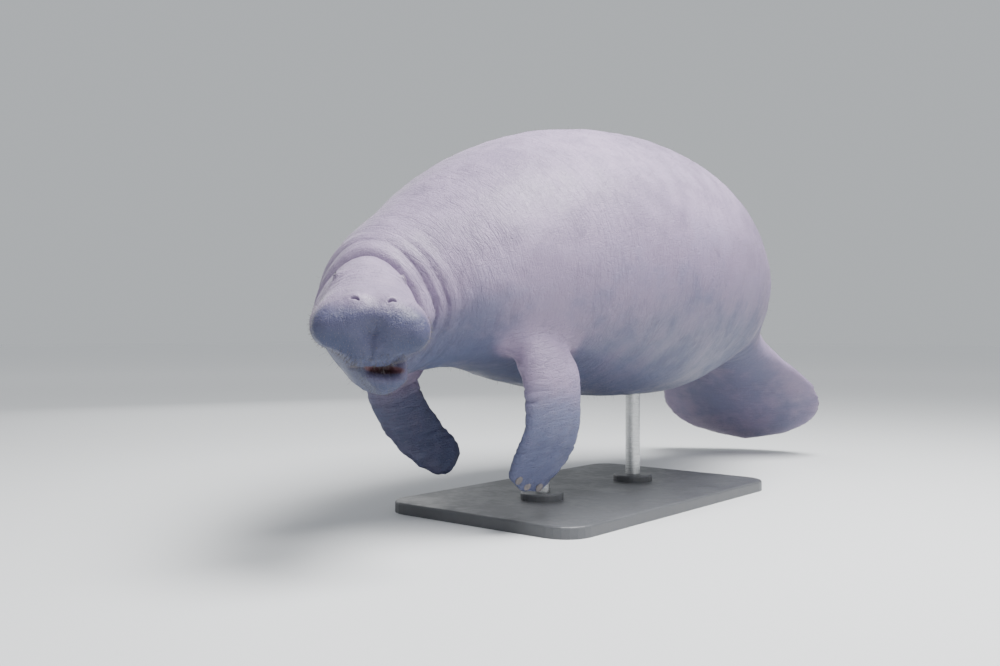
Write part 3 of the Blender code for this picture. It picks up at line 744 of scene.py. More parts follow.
def head_relief(places, turn):
    """Cross wrinkles on the bridge, folds of the cheeks and lips, and a soft unevenness."""
    x, station, z = places.T
    on_head = step_up(station, 0.34, 0.31)
    wave = cloud(places, (14.0, 16.0, 14.0), 5.0)
    top = step_up(np.sin(turn), 0.45, 0.85)
    depth, spacing = BRIDGE_WRINKLE
    bridge = step_up(station, 0.055, 0.085) * step_up(station, 0.235, 0.170) * top
    height = -depth * furrows(station + 0.010 * wave - 12 * x * x * 0.12, spacing, 3) * bridge
    depth, spacing = CHEEK_WRINKLE
    side = step_up(np.abs(np.cos(turn)), 0.55, 0.85)
    cheek = furrows(station + 0.35 * z + 0.012 * wave, spacing, 3)
    height -= depth * cheek * side * step_up(station, 0.10, 0.14) * step_up(station, 0.30, 0.24)
    lobe = step_up(station, 0.11, 0.06) * step_up(z, -0.005, -0.04)
    depth, spacing = HEM_PLEAT
    height -= depth * furrows(x + 0.012 * wave, spacing, 2) * lobe * step_up(z, -0.050, -0.080)
    depth, width = LIP_CLEFT
    height -= depth * bell(x + 0.003 * wave, width) * lobe * step_up(z, -0.100, -0.085)
    uneven = 0.0011 * cloud(places, (34.0, 34.0, 34.0), 1.7)
    height += uneven + 0.0007 * cloud(places, (80.0, 80.0, 80.0), 8.2)
    depth, spacing = CHIN_GROOVE
    chin = step_up(z, -0.135, -0.155)
    height -= depth * furrows(station + 0.01 * wave, spacing, 3) * chin * step_up(station, 0.36, 0.30)
    return height * on_head


def trunk_relief(places):
    """Broad unevenness of the trunk, soft upright wrinkles on the flanks, and the folds before the tail."""
    station = places[:, 1]
    on_trunk = step_up(station, 0.45, 0.70)
    height = 0.0050 * cloud(places, (3.4, 3.0, 3.4), 2.0) + 0.0016 * cloud(places, (11.0, 9.0, 11.0), 6.0)
    upright = creases(cloud(places, (2.6, 15.0, 2.6), 9.0), 3.0)
    height -= TRUNK_WRINKLE_DEPTH * upright * step_up(station, 2.5, 2.2)
    wander = cloud(places, (4.0, 4.0, 4.0), 4.0)
    for place, depth in TAIL_FOLDS:
        height -= depth * np.exp(-np.abs(station - place - 0.014 * wander) / 0.010)
    return height * on_trunk


def shoulder_relief(points):
    """Wrinkles that spread from the root of each flipper over the chest, and lines across the flippers."""
    height = np.zeros(len(points))
    for side in SIDES:
        low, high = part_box("flipper_" + side)
        root = np.array(((low.x + high.x) / 2, (low.y + high.y) / 2, high.z))
        apart = np.linalg.norm(points - root, axis=1)
        near = np.flatnonzero(apart < FLIPPER_REACH)
        offset = points[near] - root
        sweep = np.arctan2(offset[:, 2], offset[:, 1])
        wander = cloud(points[near], (8.0, 8.0, 8.0), 7.7)
        fade = step_up(apart[near], 0.30, 0.16) * step_up(apart[near], 0.06, 0.11)
        above = step_up(offset[:, 2], -0.16, -0.04)
        spread_out = creases(np.sin(9.0 * sweep + 1.8 * wander), 1.6)
        height[near] -= SHOULDER_WRINKLE_DEPTH * spread_out * fade * above
        down = high.z - points[near][:, 2]
        slope = 0.30 * offset[:, 1]
        lines = creases(np.sin(math.pi * (down + slope + 0.016 * wander) / FOLD_STEP), 1.5)
        on_blade = step_up(down, 0.09, 0.15)
        joint = 0.30 + bell(down - FLIPPER_ELBOW, 0.045) + bell(down - FLIPPER_WRIST, 0.035)
        height[near] -= FOLD_DEPTH * lines * on_blade * joint
        fingers = np.cos(2 * math.pi * (offset[:, 1] + 0.10 * down) / FINGER_STEP + wander)
        height[near] += FINGER_HEIGHT * fingers * step_up(down, FLIPPER_ELBOW, FLIPPER_WRIST)
    return height


def tail_relief(places):
    """Faint ribs that fan out over the paddle, and its uneven rim."""
    x, station, _ = places.T
    fan = np.arctan2(x, station - PADDLE_FAN)
    ribs = np.sin(PADDLE_RIBS * fan + 2 * cloud(places, (5.0, 5.0, 5.0), 5.5))
    on_paddle = step_up(station, 2.45, 2.62)
    return on_paddle * (PADDLE_RIB_HEIGHT * ribs + 0.0014 * cloud(places, (16.0, 16.0, 16.0), 3.3))


def mouth_share(places):
    """One inside the parted lips, falling to nothing round them."""
    offset = (places - np.array(MOUTH_PLACE)) / np.array(MOUTH_REACH)
    return step_up(np.linalg.norm(offset, axis=1), 1.30, 0.85)


def lip_share(points, places):
    """One along the line between the upper lip and the jaw, back to the corner of the mouth."""
    seam = nearness(points, ["lower_jaw"], LIP_REACH) * nearness(points, ["muzzle", "head"], LIP_REACH)
    return seam**2 * step_up(places[:, 1], LIP_CORNER[1], LIP_CORNER[0])


def build_hide():
    """The whole skin, from the lips to the rim of the tail."""
    hide = wrap_flesh()
    even_out(hide)
    mesh = hide.data
    subdivide_where(mesh, SPINE.straight(read_points(mesh))[:, 1] < HEAD_END)
    settle(mesh, SPINE.straight(read_points(mesh))[:, 1] < HEAD_END - 0.01)
    tree = search_tree([mesh])
    eyes, nostrils, ears = eye_patches(tree), nostril_patches(tree), ear_patches(tree)
    holes = [*eyes.values(), *nostrils]
    for share in DIVIDED_SHARES:
        points = read_points(mesh)
        wanted = within_any(points, eyes.values(), LID_REACH * share)
        wanted |= within_any(points, nostrils, NOSTRIL_REACH * share)
        wanted |= within_any(points, ears, EAR_RADIUS * 4 * share)
        if share == DIVIDED_SHARES[0]:
            places = SPINE.straight(points)
            wanted |= (mouth_share(places) > 0.05) | (lip_share(points, places) > 0.10)
        subdivide_where(mesh, wanted)
        settle(mesh, within_any(read_points(mesh), holes, NOSTRIL_REACH * 0.9))
    points = read_points(mesh)
    places = SPINE.straight(points)
    turn = np.arctan2(places[:, 2], places[:, 0])
    relief = neck_relief(places, turn) + head_relief(places, turn) + trunk_relief(places)
    relief = relief * (1 - flipper_share(points)) + shoulder_relief(points) + tail_relief(places)
    relief -= LIP_DEPTH * lip_share(points, places) * (1 - mouth_share(places))
    points = points + read_normals(mesh) * relief[:, None]
    for shape_patch, patches in ((shape_lids, eyes.values()), (shape_nostril, nostrils), (shape_ear, ears)):
        for patch in patches:
            shape_patch(points, patch)
    write_points(mesh, points)
    thin_out(hide, [*holes, *ears])
    mark_hide(hide.data, eyes)
    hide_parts(*FLESH)
    return hide, eyes


def thin_out(hide, patches):
    """Brings the hide under its number of triangles, mostly on the trunk."""
    mesh = hide.data
    points = read_points(mesh)
    weight = table_at(KEPT_SHARE, SPINE.straight(points)[:, 1])
    weight = np.maximum(weight, KEPT_ON_FLIPPERS * flipper_share(points))
    weight[within_any(points, patches, LID_REACH)] = 1.0
    group = hide.vertex_groups.new(name="keep")
    for level in range(1, KEPT_LEVELS + 1):
        members = np.flatnonzero(np.round(weight * KEPT_LEVELS) == level)
        group.add([int(i) for i in members], level / KEPT_LEVELS, "REPLACE")
    thin = hide.modifiers.new("thin", "DECIMATE")
    triangles = sum(len(face.vertices) - 2 for face in mesh.polygons)
    thin.ratio = HIDE_TRIANGLES / triangles
    thin.vertex_group = group.name
    thin.invert_vertex_group = True
    thin.vertex_group_factor = 1.0
    apply_modifiers(hide)
    hide.vertex_groups.clear()
    hide.data.shade_smooth()


def mark_hide(mesh, eyes):
    """Stores the body's straight frame and the masks that the hide's material reads."""
    points = read_points(mesh)
    places = SPINE.straight(points)
    _, station, z = places.T
    web = Web(mesh)
    ups = SPINE.read(SPINE.up, station)
    facing = web.soften(np.einsum("ij,ij->i", read_normals(mesh), ups), 0.8, 90)
    blade = flipper_share(points, 0.06)
    # Painted shade: darker where the hide faces down, less on the tail, and darker down the flippers by
    # height.
    under = step_up(facing, *UNDER_SHADE_FACING)
    under *= 1 - 0.3 * step_up(station, *TAIL_SHADE_EASING)
    under = under * (1 - blade) + blade * (0.25 + 0.67 * step_up(points[:, 2], *BLADE_SHADE_SPAN))
    # Painted shade round each sunken eye opening.
    lids = np.zeros(len(points))
    for patch in eyes.values():
        a, b, w = patch.split(points)
        lids = np.maximum(lids, bell(np.linalg.norm([a, b, w - eye_radius()], axis=0), 0.010))
    # Painted shade on the muzzle's front, partly its darker bristle pad, on the throat, under the hem of the
    # upper lip and on the low flipper tips.
    disc_and_shade = step_up(station, 0.070, 0.018) * step_up(z, 0.052, 0.010)
    throat = 0.55 * step_up(z, -0.070, -0.115) * step_up(station, 0.36, 0.24)
    hem = 0.90 * step_up(z, -0.052, -0.082) * step_up(station, 0.20, 0.11)
    tips = 0.65 * blade * step_up(points[:, 2], 0.34, 0.14)
    masks = {
        "lie": places,
        "under": under,
        "on_flipper": blade,
        "mouth": mouth_share(places),
        "lip_line": lip_share(points, places),
        "lids": lids,
        "disc_and_shade": web.soften(np.max([disc_and_shade, throat, hem, tips], axis=0), 0.6, 12),
        "muzzle": step_up(station, 0.125, 0.075),
    }
    for name, values in masks.items():
        write_attribute(mesh, name, values)


def build_eye(side, patch):
    """Wet ball of one eye, with a clear bulge over the iris."""
    ball = eye_radius()
    shape = bmesh.new()
    bmesh.ops.create_uvsphere(shape, u_segments=48, v_segments=32, radius=ball)
    for vert in shape.verts:
        swell = max(0.0, vert.co.z / ball - IRIS_EDGE) / 0.45
        vert.co *= 1 + IRIS_BULGE * swell * swell
    turned = Matrix((patch.along, patch.across, patch.out)).transposed().to_4x4()
    bmesh.ops.transform(shape, matrix=Matrix.Translation(patch.middle) @ turned, verts=shape.verts)
    eye = add_piece("eyeball_" + side, shape)
    offset = read_points(eye.data) - np.array(patch.middle)
    offset /= np.linalg.norm(offset, axis=1)[:, None]
    write_attribute(eye.data, "gaze", np.degrees(np.arccos(np.clip(offset @ np.array(patch.out), -1, 1))))
    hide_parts("eye_" + side)
    return eye


def build_nail(node):
    """Nail of a flipper, rounded and ridged along its length."""
    shape = merged_node(node)
    bmesh.ops.subdivide_edges(shape, edges=shape.edges, cuts=1, use_grid_fill=True, smooth=1.0)
    piece = add_piece("horn_" + node, shape)
    rows = read_points(piece.data)
    middle = rows.mean(axis=0)
    axes = np.linalg.svd(rows - middle, full_matrices=False)[2]
    across = (rows - middle) @ axes[1]
    rows += read_normals(piece.data) * (NAIL_RIDGE_HEIGHT * np.sin(across / NAIL_RIDGE_REACH))[:, None]
    write_points(piece.data, rows)
    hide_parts(node)
    return piece


def scatter(mesh, density, spacing, seed):
    """Spread places on a mesh, no two closer than the spacing, as points, normals and straight places."""
    draw = np.random.default_rng(seed)
    mesh.calc_loop_triangles()
    corners = np.zeros(len(mesh.loop_triangles) * 3, np.int32)
    mesh.loop_triangles.foreach_get("vertices", corners)
    corners = corners.reshape(-1, 3)
    points = read_points(mesh)
    first, second, third = (points[corners[:, k]] for k in range(3))
    cross = np.cross(second - first, third - first)
    area = np.linalg.norm(cross, axis=1) / 2
    lie = np.zeros(len(mesh.vertices) * 3, np.float32)
    mesh.attributes["lie"].data.foreach_get("vector", lie)
    middle = lie.reshape(-1, 3)[corners].mean(axis=1)
    wanted = area * density(middle)
    tries = int(TRIES_PER_HAIR * wanted.sum() / spacing**2)
    picks = draw.choice(len(corners), tries, p=wanted / wanted.sum())
    u, v = draw.random(tries), draw.random(tries)
    u, v = np.where(u + v > 1, 1 - u, u), np.where(u + v > 1, 1 - v, v)
    spots = first[picks] + u[:, None] * (second - first)[picks] + v[:, None] * (third - first)[picks]
    taken, kept = {}, []
    for index, spot in enumerate(spots):
        cell = tuple(np.floor(spot / spacing).astype(int))
        around = [tuple(np.add(cell, step)) for step in itertools.product((-1, 0, 1), repeat=3)]
        if all(np.linalg.norm(spot - other) >= spacing for near in around for other in taken.get(near, ())):
            taken.setdefault(cell, []).append(spot)
            kept.append(index)
    normals = (cross / np.maximum(2 * area, 1e-12)[:, None])[picks[kept]]
    return spots[kept], normals, middle[picks[kept]]


def straight_hair():
    """One tapered upright hair of unit length and width."""
    shape = bmesh.new()
    bmesh.ops.create_cone(shape, cap_ends=True, segments=HAIR_SIDES, radius1=0.5, radius2=HAIR_TIP, depth=1)
    long_edges = [edge for edge in shape.edges if abs(edge.verts[0].co.z - edge.verts[1].co.z) > 0.5]
    bmesh.ops.subdivide_edges(shape, edges=long_edges, cuts=HAIR_RINGS, use_grid_fill=True)
    bmesh.ops.translate(shape, verts=shape.verts, vec=(0, 0, 0.5))
    return mesh_from("straight_hair", shape)


def plant(name, mesh, density, spacing, seed, length, width, lean, bend):
    """A coat piece of single hairs, rooted in the hide and leaning back along the body."""
    spots, normals, places = scatter(mesh, density, spacing, seed)
    draw = random.Random(seed)
    template = straight_hair()
    count = len(template.vertices)
    joined = bmesh.new()
    coat_map = []
    for spot, normal, place in zip(spots, normals, places):
        joined.from_mesh(template)
        joined.verts.ensure_lookup_table()
        fresh = joined.verts[-count:]
        out = Vector(normal)
        _, forward, _, _ = SPINE.at(float(place[1]))
        back = -forward + 0.5 * Vector((draw.uniform(-1, 1), draw.uniform(-1, 1), draw.uniform(-1, 1)))
        rise = (out + lean * draw.uniform(0.5, 1.4) * back).normalized()
        side = rise.cross(back).normalized()
        over = side.cross(rise)
        tall = draw.uniform(*length)
        thick = draw.uniform(*width)
        for vert in fresh:
            up = vert.co.z
            curl = bend * up * up * tall
            middle = Vector(spot) - out * HAIR_ROOT + rise * (up * tall - 0.3 * abs(curl)) - over * curl
            vert.co = middle + (side * vert.co.x + over * vert.co.y) * thick
        turn = math.atan2(place[2], place[0]) / (2 * math.pi) + 0.5
        coat_map.append((turn, float(place[1]) / BODY_LENGTH))
    lay_coat_map(joined, coat_map, count)
    piece = add_piece(name, joined)
    return piece


def lay_coat_map(shape, roots, count):
    """Gives each hair its own small patch at its root's place on the unwrapped hide."""
    shape.verts.index_update()
    layer = shape.loops.layers.uv.new("OFBake")
    for face in shape.faces:
        for number, loop in enumerate(face.loops):
            u, v = roots[loop.vert.index // count]
            corner = 2 * math.pi * number / len(face.loops)
            loop[layer].uv = (u + COAT_PATCH / 2 * math.cos(corner), v + COAT_PATCH / 2 * math.sin(corner))


def muzzle_density(places):
    """Bristles on the pads of the upper lip and on the chin."""
    _, station, z = places.T
    pads = step_up(station, 0.115, 0.050) * step_up(z, 0.050, -0.030)
    chin = step_up(z, -0.085, -0.105) * step_up(station, 0.16, 0.10)
    return np.maximum(pads * step_up(z, -0.100, -0.080), chin) * (1 - mouth_share(places))


def lip_density(places):
    """Stout bristles on the hems of the upper lip, either side of the cleft."""
    x, station, z = places.T
    hems = bell(np.abs(x) - 0.042, 0.022) * bell(z + 0.085, 0.018) * step_up(station, 0.085, 0.055)
    return hems * (1 - mouth_share(places))


def body_density(places):
    """Sparse hairs all over, fewer on the tail."""
    station = places[:, 1]
    return step_up(station, 0.12, 0.20) * (1 - 0.5 * step_up(station, 2.2, 2.6))


# Coats of single hairs: name, density, spacing, seed, range of length, range of width, lean and bend.
COATS = (
    ("muzzle_bristles", muzzle_density, 0.0058, 3, (0.004, 0.010), (0.0006, 0.0009), 0.35, 0.12),
    ("lip_bristles", lip_density, 0.0075, 5, (0.008, 0.015), (0.0009, 0.0014), 0.15, 0.10),
    ("body_hairs", body_density, 0.036, 7, (0.012, 0.026), (0.0004, 0.0006), 0.80, 0.25),
)


def add_node(tree, kind, inputs=None, **settings):
    """Node in a tree; an input is a value, or the output that feeds it."""
    node = tree.nodes.new(kind)
    for name, value in settings.items():
        setattr(node, name, value)
    for name, value in (inputs or {}).items():
        if isinstance(value, bpy.types.NodeSocket):
            tree.links.new(value, node.inputs[name])
        else:
            node.inputs[name].default_value = value
    return node


def maths(tree, operation, first, second=0.0, clamp=False):
    """Result of one sum on two values."""
    node = add_node(tree, "ShaderNodeMath", {0: first, 1: second}, operation=operation, use_clamp=clamp)
    return node.outputs["Value"]


def vector_maths(tree, operation, inputs, output="Vector"):
    """Result of one sum on vectors."""
    return add_node(tree, "ShaderNodeVectorMath", inputs, operation=operation).outputs[output]


def times(tree, first, second, clamp=False):
    """Product of two values."""
    return maths(tree, "MULTIPLY", first, second, clamp)


def rest_of(tree, value):
    """One less a value."""
    return maths(tree, "SUBTRACT", 1.0, value)


def spread(tree, value, low, high, to_low=0.0, to_high=1.0):
    """Value stretched smoothly from one range to another."""
    inputs = {"Value": value, "From Min": low, "From Max": high, "To Min": to_low, "To Max": to_high}
    return add_node(tree, "ShaderNodeMapRange", inputs, interpolation_type="SMOOTHSTEP").outputs["Result"]


def blend_colour(tree, share, first, second):
    """Two colours mixed by a share; each is three values or the output that gives it."""
    first, second = (one if isinstance(one, bpy.types.NodeSocket) else (*one, 1.0) for one in (first, second))
    return add_node(tree, "ShaderNodeMix", {0: share, 6: first, 7: second}, data_type="RGBA").outputs[2]


def layered(tree, colour, layers):
    """A colour with others laid over it, each by its share."""
    for share, over in layers:
        colour = blend_colour(tree, share, colour, over)
    return colour


def noise_at(tree, place, scale, detail=2.0, roughness=0.5):
    """Value of a noise pattern."""
    inputs = {"Vector": place, "Scale": scale, "Detail": detail, "Roughness": roughness}
    return add_node(tree, "ShaderNodeTexNoise", inputs).outputs["Fac"]


def folds_at(tree, place, width):
    """Zero along winding lines of a noise pattern, rising to one at a width from them."""
    away = maths(tree, "ABSOLUTE", maths(tree, "SUBTRACT", noise_at(tree, place, 1.0, 3.0, 0.55), 0.5))
    return spread(tree, away, 0.0, width)


def total(tree, *parts):
    """Sum of values, each by its share."""
    result = times(tree, *parts[0])
    for value, share in parts[1:]:
        result = maths(tree, "ADD", result, times(tree, value, share))
    return result


def cells_at(tree, place, scale, feature="DISTANCE_TO_EDGE"):
    """Distance to the nearest edge of a pattern of cells, or to the nearest middle of one."""
    inputs = {"Vector": place, "Scale": scale}
    return add_node(tree, "ShaderNodeTexVoronoi", inputs, feature=feature).outputs["Distance"]


def stretched(tree, place, scale):
    """Place scaled by axis."""
    return add_node(tree, "ShaderNodeMapping", {"Vector": place, "Scale": scale}).outputs["Vector"]


def warped(tree, place, scale, amount):
    """Place pushed about by noise, so that a pattern loses its regularity."""
    inputs = {"Vector": place, "Scale": scale, "Detail": 2.0}
    push = add_node(tree, "ShaderNodeTexNoise", inputs).outputs["Color"]
    centred = vector_maths(tree, "SUBTRACT", {0: push, 1: (0.5, 0.5, 0.5)})
    sized = vector_maths(tree, "SCALE", {0: centred, "Scale": amount})
    return vector_maths(tree, "ADD", {0: place, 1: sized})


def new_group(name, inputs, outputs):
    """Shader node group with named inputs and outputs, and its two end nodes."""
    group = bpy.data.node_groups.new(name, "ShaderNodeTree")
    for label, kind in inputs:
        group.interface.new_socket(name=label, in_out="INPUT", socket_type=kind)
    for label, kind in outputs:
        group.interface.new_socket(name=label, in_out="OUTPUT", socket_type=kind)
    return group, group.nodes.new("NodeGroupInput").outputs, group.nodes.new("NodeGroupOutput").inputs


def use_group(tree, group, inputs):
    """A group's outputs in a tree, with this tree's values."""
    return add_node(tree, "ShaderNodeGroup", inputs, node_tree=group).outputs


def wrinkle_group():
    """Fine relief of the hide: a net of cells, lines round the body, folds across the flippers, and pits."""
    group, given, result = new_group(
        "fine_wrinkles",
        [("Place", "NodeSocketVector"), ("Lie", "NodeSocketVector"), ("Rings", "NodeSocketFloat"),
         ("Blade", "NodeSocketFloat"), ("Pits", "NodeSocketFloat")],
        [("Height", "NodeSocketFloat"), ("Creases", "NodeSocketFloat")],
    )
    place = warped(group, given["Place"], 30.0, 0.014)
    shown = spread(group, noise_at(group, given["Place"], 6.0, 3.0, 0.6), 0.34, 0.60)
    broad = spread(group, cells_at(group, place, 84.0), 0.0, 0.17)
    broad = rest_of(group, times(group, rest_of(group, broad), shown))
    small = spread(group, cells_at(group, place, 230.0), 0.0, 0.22)
    lie = warped(group, given["Lie"], 9.0, 0.022)
    ring = folds_at(group, stretched(group, lie, (8.0, 48.0, 8.0)), 0.055)
    ring = rest_of(group, times(group, rest_of(group, ring), shown))
    fine = folds_at(group, stretched(group, lie, (24.0, 150.0, 24.0)), 0.060)
    cross = folds_at(group, stretched(group, lie, (95.0, 26.0, 95.0)), 0.050)
    blade = folds_at(group, stretched(group, lie, (17.0, 17.0, 88.0)), 0.060)
    pit = spread(group, cells_at(group, given["Place"], 165.0, "F1"), 0.06, 0.30)
    grain = noise_at(group, given["Place"], 520.0, 2.0, 0.6)
    cells = total(group, (broad, 0.13), (small, 0.10))
    rings = times(group, given["Rings"], total(group, (ring, 0.26), (fine, 0.17)))
    blades = times(group, given["Blade"], blade)
    pits = times(group, given["Pits"], pit)
    shares = ((cells, 1.0), (rings, 1.0), (cross, 0.14), (blades, 0.34), (pits, 0.11), (grain, 0.10))
    # Creases: how far into a cell edge, fold or pit each place lies, for painted shade and for roughness.
    widest = times(group, rest_of(group, broad), 0.55)
    for line, shown_by in ((ring, given["Rings"]), (blade, given["Blade"]), (pit, given["Pits"])):
        widest = maths(group, "MAXIMUM", widest, times(group, rest_of(group, line), shown_by))
    group.links.new(total(group, *shares), result["Height"])
    group.links.new(widest, result["Creases"])
    return group


def mottle_group():
    """Soft clouding of a colour: broad patches, middling blotches and small specks."""
    group, given, result = new_group(
        "soft_mottle",
        [("Place", "NodeSocketVector")],
        [("Cloud", "NodeSocketFloat"), ("Specks", "NodeSocketFloat")],
    )
    broad = noise_at(group, given["Place"], 3.2, 3.0, 0.55)
    middling = noise_at(group, given["Place"], 17.0, 4.0, 0.6)
    clouding = total(group, (broad, 0.6), (middling, 0.4))
    specks = spread(group, noise_at(group, given["Place"], 95.0, 2.0, 0.5), 0.60, 0.72)
    group.links.new(spread(group, clouding, 0.34, 0.66), result["Cloud"])
    group.links.new(specks, result["Specks"])
    return group


WRINKLES = wrinkle_group()
MOTTLE = mottle_group()


def new_material(name, **values):
    """Material with its tree, its shader and the values that are the same all over."""
    material = bpy.data.materials.new(name)
    material.use_nodes = True
    tree = material.node_tree
    shader = tree.nodes["Principled BSDF"]
    for label, value in values.items():
        shader.inputs[label.replace("_", " ")].default_value = value
    return material, tree, shader


def object_place(tree):
    """Place on the piece in its own coordinates."""
    return tree.nodes.new("ShaderNodeTexCoord").outputs["Object"]


def stored(tree, name, output="Fac"):
    """Value that the mesh stores for each point."""
    return add_node(tree, "ShaderNodeAttribute", attribute_name=name).outputs[output]


def bumped(tree, height, distance, strength=1.0):
    """Normal bent by a height."""
    inputs = {"Height": height, "Distance": distance, "Strength": strength}
    return add_node(tree, "ShaderNodeBump", inputs).outputs["Normal"]


def feed(tree, shader, **values):
    """Links values that change over the surface to the shader's sockets."""
    for label, value in values.items():
        tree.links.new(value, shader.inputs[label.replace("_", " ")])


def hide_material():
    """Mauve grey hide with random mottle, pale bloom and rosy lips, and painted shade: bluer below, in the
    creases, round the eyes, along the lip seam and on the face.
    """
    material, tree, shader = new_material("manatee_hide", Specular_IOR_Level=0.42, Coat_Roughness=0.30)
    place = object_place(tree)
    under, muzzle, blade = (stored(tree, name) for name in ("under", "muzzle", "on_flipper"))
    rings = times(tree, rest_of(tree, blade), rest_of(tree, times(tree, muzzle, 0.8)))
    lie = stored(tree, "lie", "Vector")
    inputs = {"Place": place, "Lie": lie, "Rings": rings, "Blade": blade, "Pits": muzzle}
    relief = use_group(tree, WRINKLES, inputs)
    mottle = use_group(tree, MOTTLE, {"Place": place})
    wavering = times(tree, maths(tree, "SUBTRACT", mottle["Cloud"], 0.5), 0.50)
    bloom = times(tree, mottle["Cloud"], rest_of(tree, under), clamp=True)
    lids, lip_line = times(tree, stored(tree, "lids"), 0.75), times(tree, stored(tree, "lip_line"), 0.85)
    colour = layered(tree, BACK_MAUVE, (
        # Painted shade of the underside, with a wavering edge.
        (spread(tree, maths(tree, "ADD", under, wavering), 0.15, 0.95), UNDER_SHADE_SLATE),
        (times(tree, bloom, 0.34), PALE_BLOOM),
        (times(tree, rest_of(tree, mottle["Cloud"]), 0.30), MOTTLE_AND_CREASE_SHADE),
        # Painted shade in the creases.
        (times(tree, relief["Creases"], 0.24), MOTTLE_AND_CREASE_SHADE),
        (times(tree, mottle["Specks"], 0.07), PALE_BLOOM),
        # Painted shade on the face and the flipper tips, partly the muzzle's darker bristle pad.
        (times(tree, stored(tree, "disc_and_shade"), 0.86), DISC_AND_DEEP_SHADE),
        # Painted shade round the eye openings and along the lip seam.
        (maths(tree, "MAXIMUM", lids, lip_line), EYE_AND_LIP_SEAM_SHADE),
        (times(tree, stored(tree, "mouth"), 0.92), LIP_ROSE),
    ))
    dull = spread(tree, mottle["Cloud"], 0.0, 1.0, 0.40, 0.56)
    roughness = maths(tree, "ADD", dull, times(tree, relief["Creases"], 0.14))
    wet = spread(tree, mottle["Cloud"], 0.2, 0.9, 0.16, 0.05)
    normal = bumped(tree, relief["Height"], 0.0042, 0.75)
    feed(tree, shader, Base_Color=colour, Roughness=roughness, Coat_Weight=wet, Normal=normal)
    return material


def eye_material():
    """Near black wet eye with a deep brown iris round the pupil."""
    material, tree, shader = new_material(
        "wet_eye", Roughness=0.05, Specular_IOR_Level=0.6, Coat_Weight=1.0, Coat_Roughness=0.02
    )
    gaze = stored(tree, "gaze")
    brown = blend_colour(tree, noise_at(tree, object_place(tree), 900.0, 3.0, 0.6), IRIS_DARK, IRIS_BROWN)
    colour = blend_colour(tree, spread(tree, gaze, *PUPIL_EDGE), PUPIL_BLACK, brown)
    feed(tree, shader, Base_Color=blend_colour(tree, spread(tree, gaze, *IRIS_RIM), colour, EYE_WHITE))
    return material


def horn_material():
    """Worn horn of the nails, streaked along their length."""
    material, tree, shader = new_material("worn_horn", Specular_IOR_Level=0.5)
    place = object_place(tree)
    streaks = noise_at(tree, stretched(tree, place, (260.0, 260.0, 60.0)), 1.0, 4.0, 0.6)
    stains = use_group(tree, MOTTLE, {"Place": stretched(tree, place, (6.0, 6.0, 6.0))})
    colour = layered(tree, HORN_DARK, ((streaks, NAIL_HORN), (times(tree, stains["Cloud"], 0.4), HORN_PALE)))
    roughness = spread(tree, streaks, 0.3, 0.7, 0.30, 0.48)
    feed(tree, shader, Base_Color=colour, Roughness=roughness, Normal=bumped(tree, streaks, 0.0008, 0.6))
    return material


def scaled(colour, share):
    """A colour at a share of its brightness."""
    return tuple(share * part for part in colour)


def hair_material(name, colour):
    """Single hairs, a little uneven in colour."""
    material, tree, shader = new_material(name, Specular_IOR_Level=0.5)
    tone = noise_at(tree, object_place(tree), 140.0, 2.0, 0.6)
    uneven = blend_colour(tree, tone, scaled(colour, 0.55), colour)
    feed(tree, shader, Base_Color=uneven, Roughness=spread(tree, tone, 0.3, 0.7, 0.35, 0.50))
    return material


def paint_material():
    """Satin dark paint with a fine orange peel and faint dust."""
    material, tree, shader = new_material("stand_paint", Specular_IOR_Level=0.5)
    place = object_place(tree)
    peel = noise_at(tree, place, 260.0, 2.0, 0.5)
    dust = use_group(tree, MOTTLE, {"Place": stretched(tree, place, (2.4, 2.4, 2.4))})["Cloud"]
    colour = blend_colour(tree, times(tree, dust, 0.3), STAND_PAINT, scaled(STAND_PAINT, 1.7))
    roughness = spread(tree, dust, 0.0, 1.0, 0.36, 0.50)
    feed(tree, shader, Base_Color=colour, Roughness=roughness, Normal=bumped(tree, peel, 0.0006, 0.35))
    return material


def steel_material():
    """Round steel bar, brushed round its length."""
    material, tree, shader = new_material("brushed_bar", Metallic=1.0)
    brush = noise_at(tree, stretched(tree, object_place(tree), (12.0, 12.0, 900.0)), 1.0, 3.0, 0.6)
    colour = blend_colour(tree, brush, scaled(STAND_STEEL, 0.88), STAND_STEEL)
    roughness = spread(tree, brush, 0.3, 0.7, 0.24, 0.38)
    feed(tree, shader, Base_Color=colour, Roughness=roughness, Normal=bumped(tree, brush, 0.0002, 0.25))
    return material


def dress(piece, material):
    """Gives a piece one material."""
    piece.data.materials.clear()
    piece.data.materials.append(material)


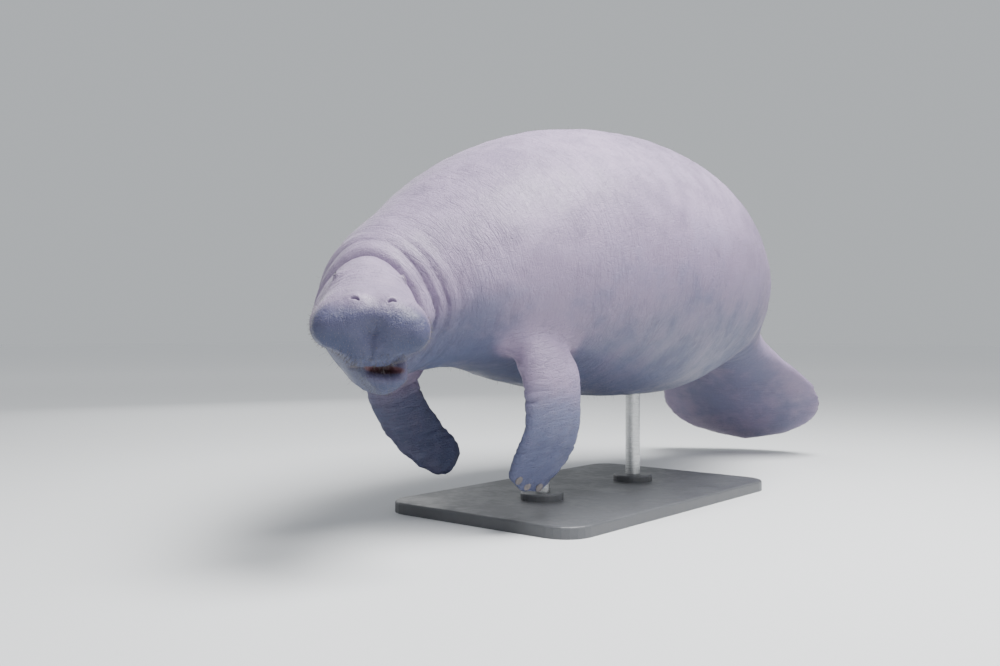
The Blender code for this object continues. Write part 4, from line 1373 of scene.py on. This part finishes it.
def dress_stand():
    """Finishes the solids of the stand."""
    paint, steel = paint_material(), steel_material()
    for name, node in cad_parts.items():
        if name.startswith("stand_rod"):
            dress(node, steel)
        elif name.startswith("stand_"):
            dress(node, paint)


def add_light(name, place, size, power):
    """Soft square light aimed at the body."""
    data = bpy.data.lights.new(name, "AREA")
    data.shape = "SQUARE"
    data.size = size
    data.energy = power
    light = link_object(name, data)
    light.location = place
    light.rotation_euler = (Vector(LIGHT_TARGET) - Vector(place)).to_track_quat("-Z", "Y").to_euler()


def build_studio():
    """Pale floor, even surroundings, a broad light overhead and two fills."""
    shape = bmesh.new()
    bmesh.ops.create_grid(shape, x_segments=1, y_segments=1, size=FLOOR_SIZE)
    floor = link_object("studio_floor", mesh_from("studio_floor", shape))
    material, tree, shader = new_material("studio_floor", Roughness=0.85)
    away = spread(tree, vector_maths(tree, "LENGTH", {0: object_place(tree)}, "Value"), *FLOOR_PALING)
    feed(tree, shader, Base_Color=blend_colour(tree, away, FLOOR_PALE, FLOOR_FAR))
    dress(floor, material)
    world = bpy.data.worlds.new("studio")
    bpy.context.scene.world = world
    world.use_nodes = True
    backdrop = world.node_tree.nodes["Background"]
    backdrop.inputs["Color"].default_value = (*BACKDROP_PALE, 1.0)
    backdrop.inputs["Strength"].default_value = BACKDROP_STRENGTH
    for light in LIGHTS:
        add_light(*light)


def build_camera():
    """Camera at the photo's angle, level and unturned."""
    data = bpy.data.cameras.new("camera")
    data.lens = CAMERA_LENS
    data.sensor_width = SENSOR_WIDTH
    data.clip_end = CAMERA_REACH
    camera = link_object("camera", data)
    camera.location = CAMERA_PLACE
    camera.rotation_euler = (math.pi / 2, 0, CAMERA_AZIMUTH)
    bpy.context.scene.camera = camera


build_camera()
hide, eyes = build_hide()
dress(hide, hide_material())
wet = eye_material()
for side, patch in eyes.items():
    dress(build_eye(side, patch), wet)
horn = horn_material()
for node in sorted(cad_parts):
    if node.startswith("nail_"):
        dress(build_nail(node), horn)
straw, grey = hair_material("bristle", BRISTLE_STRAW), hair_material("body_hair", HAIR_GREY)
for name, *growth in COATS:
    dress(plant(name, hide.data, *growth), grey if name == "body_hairs" else straw)
dress_stand()
build_studio()
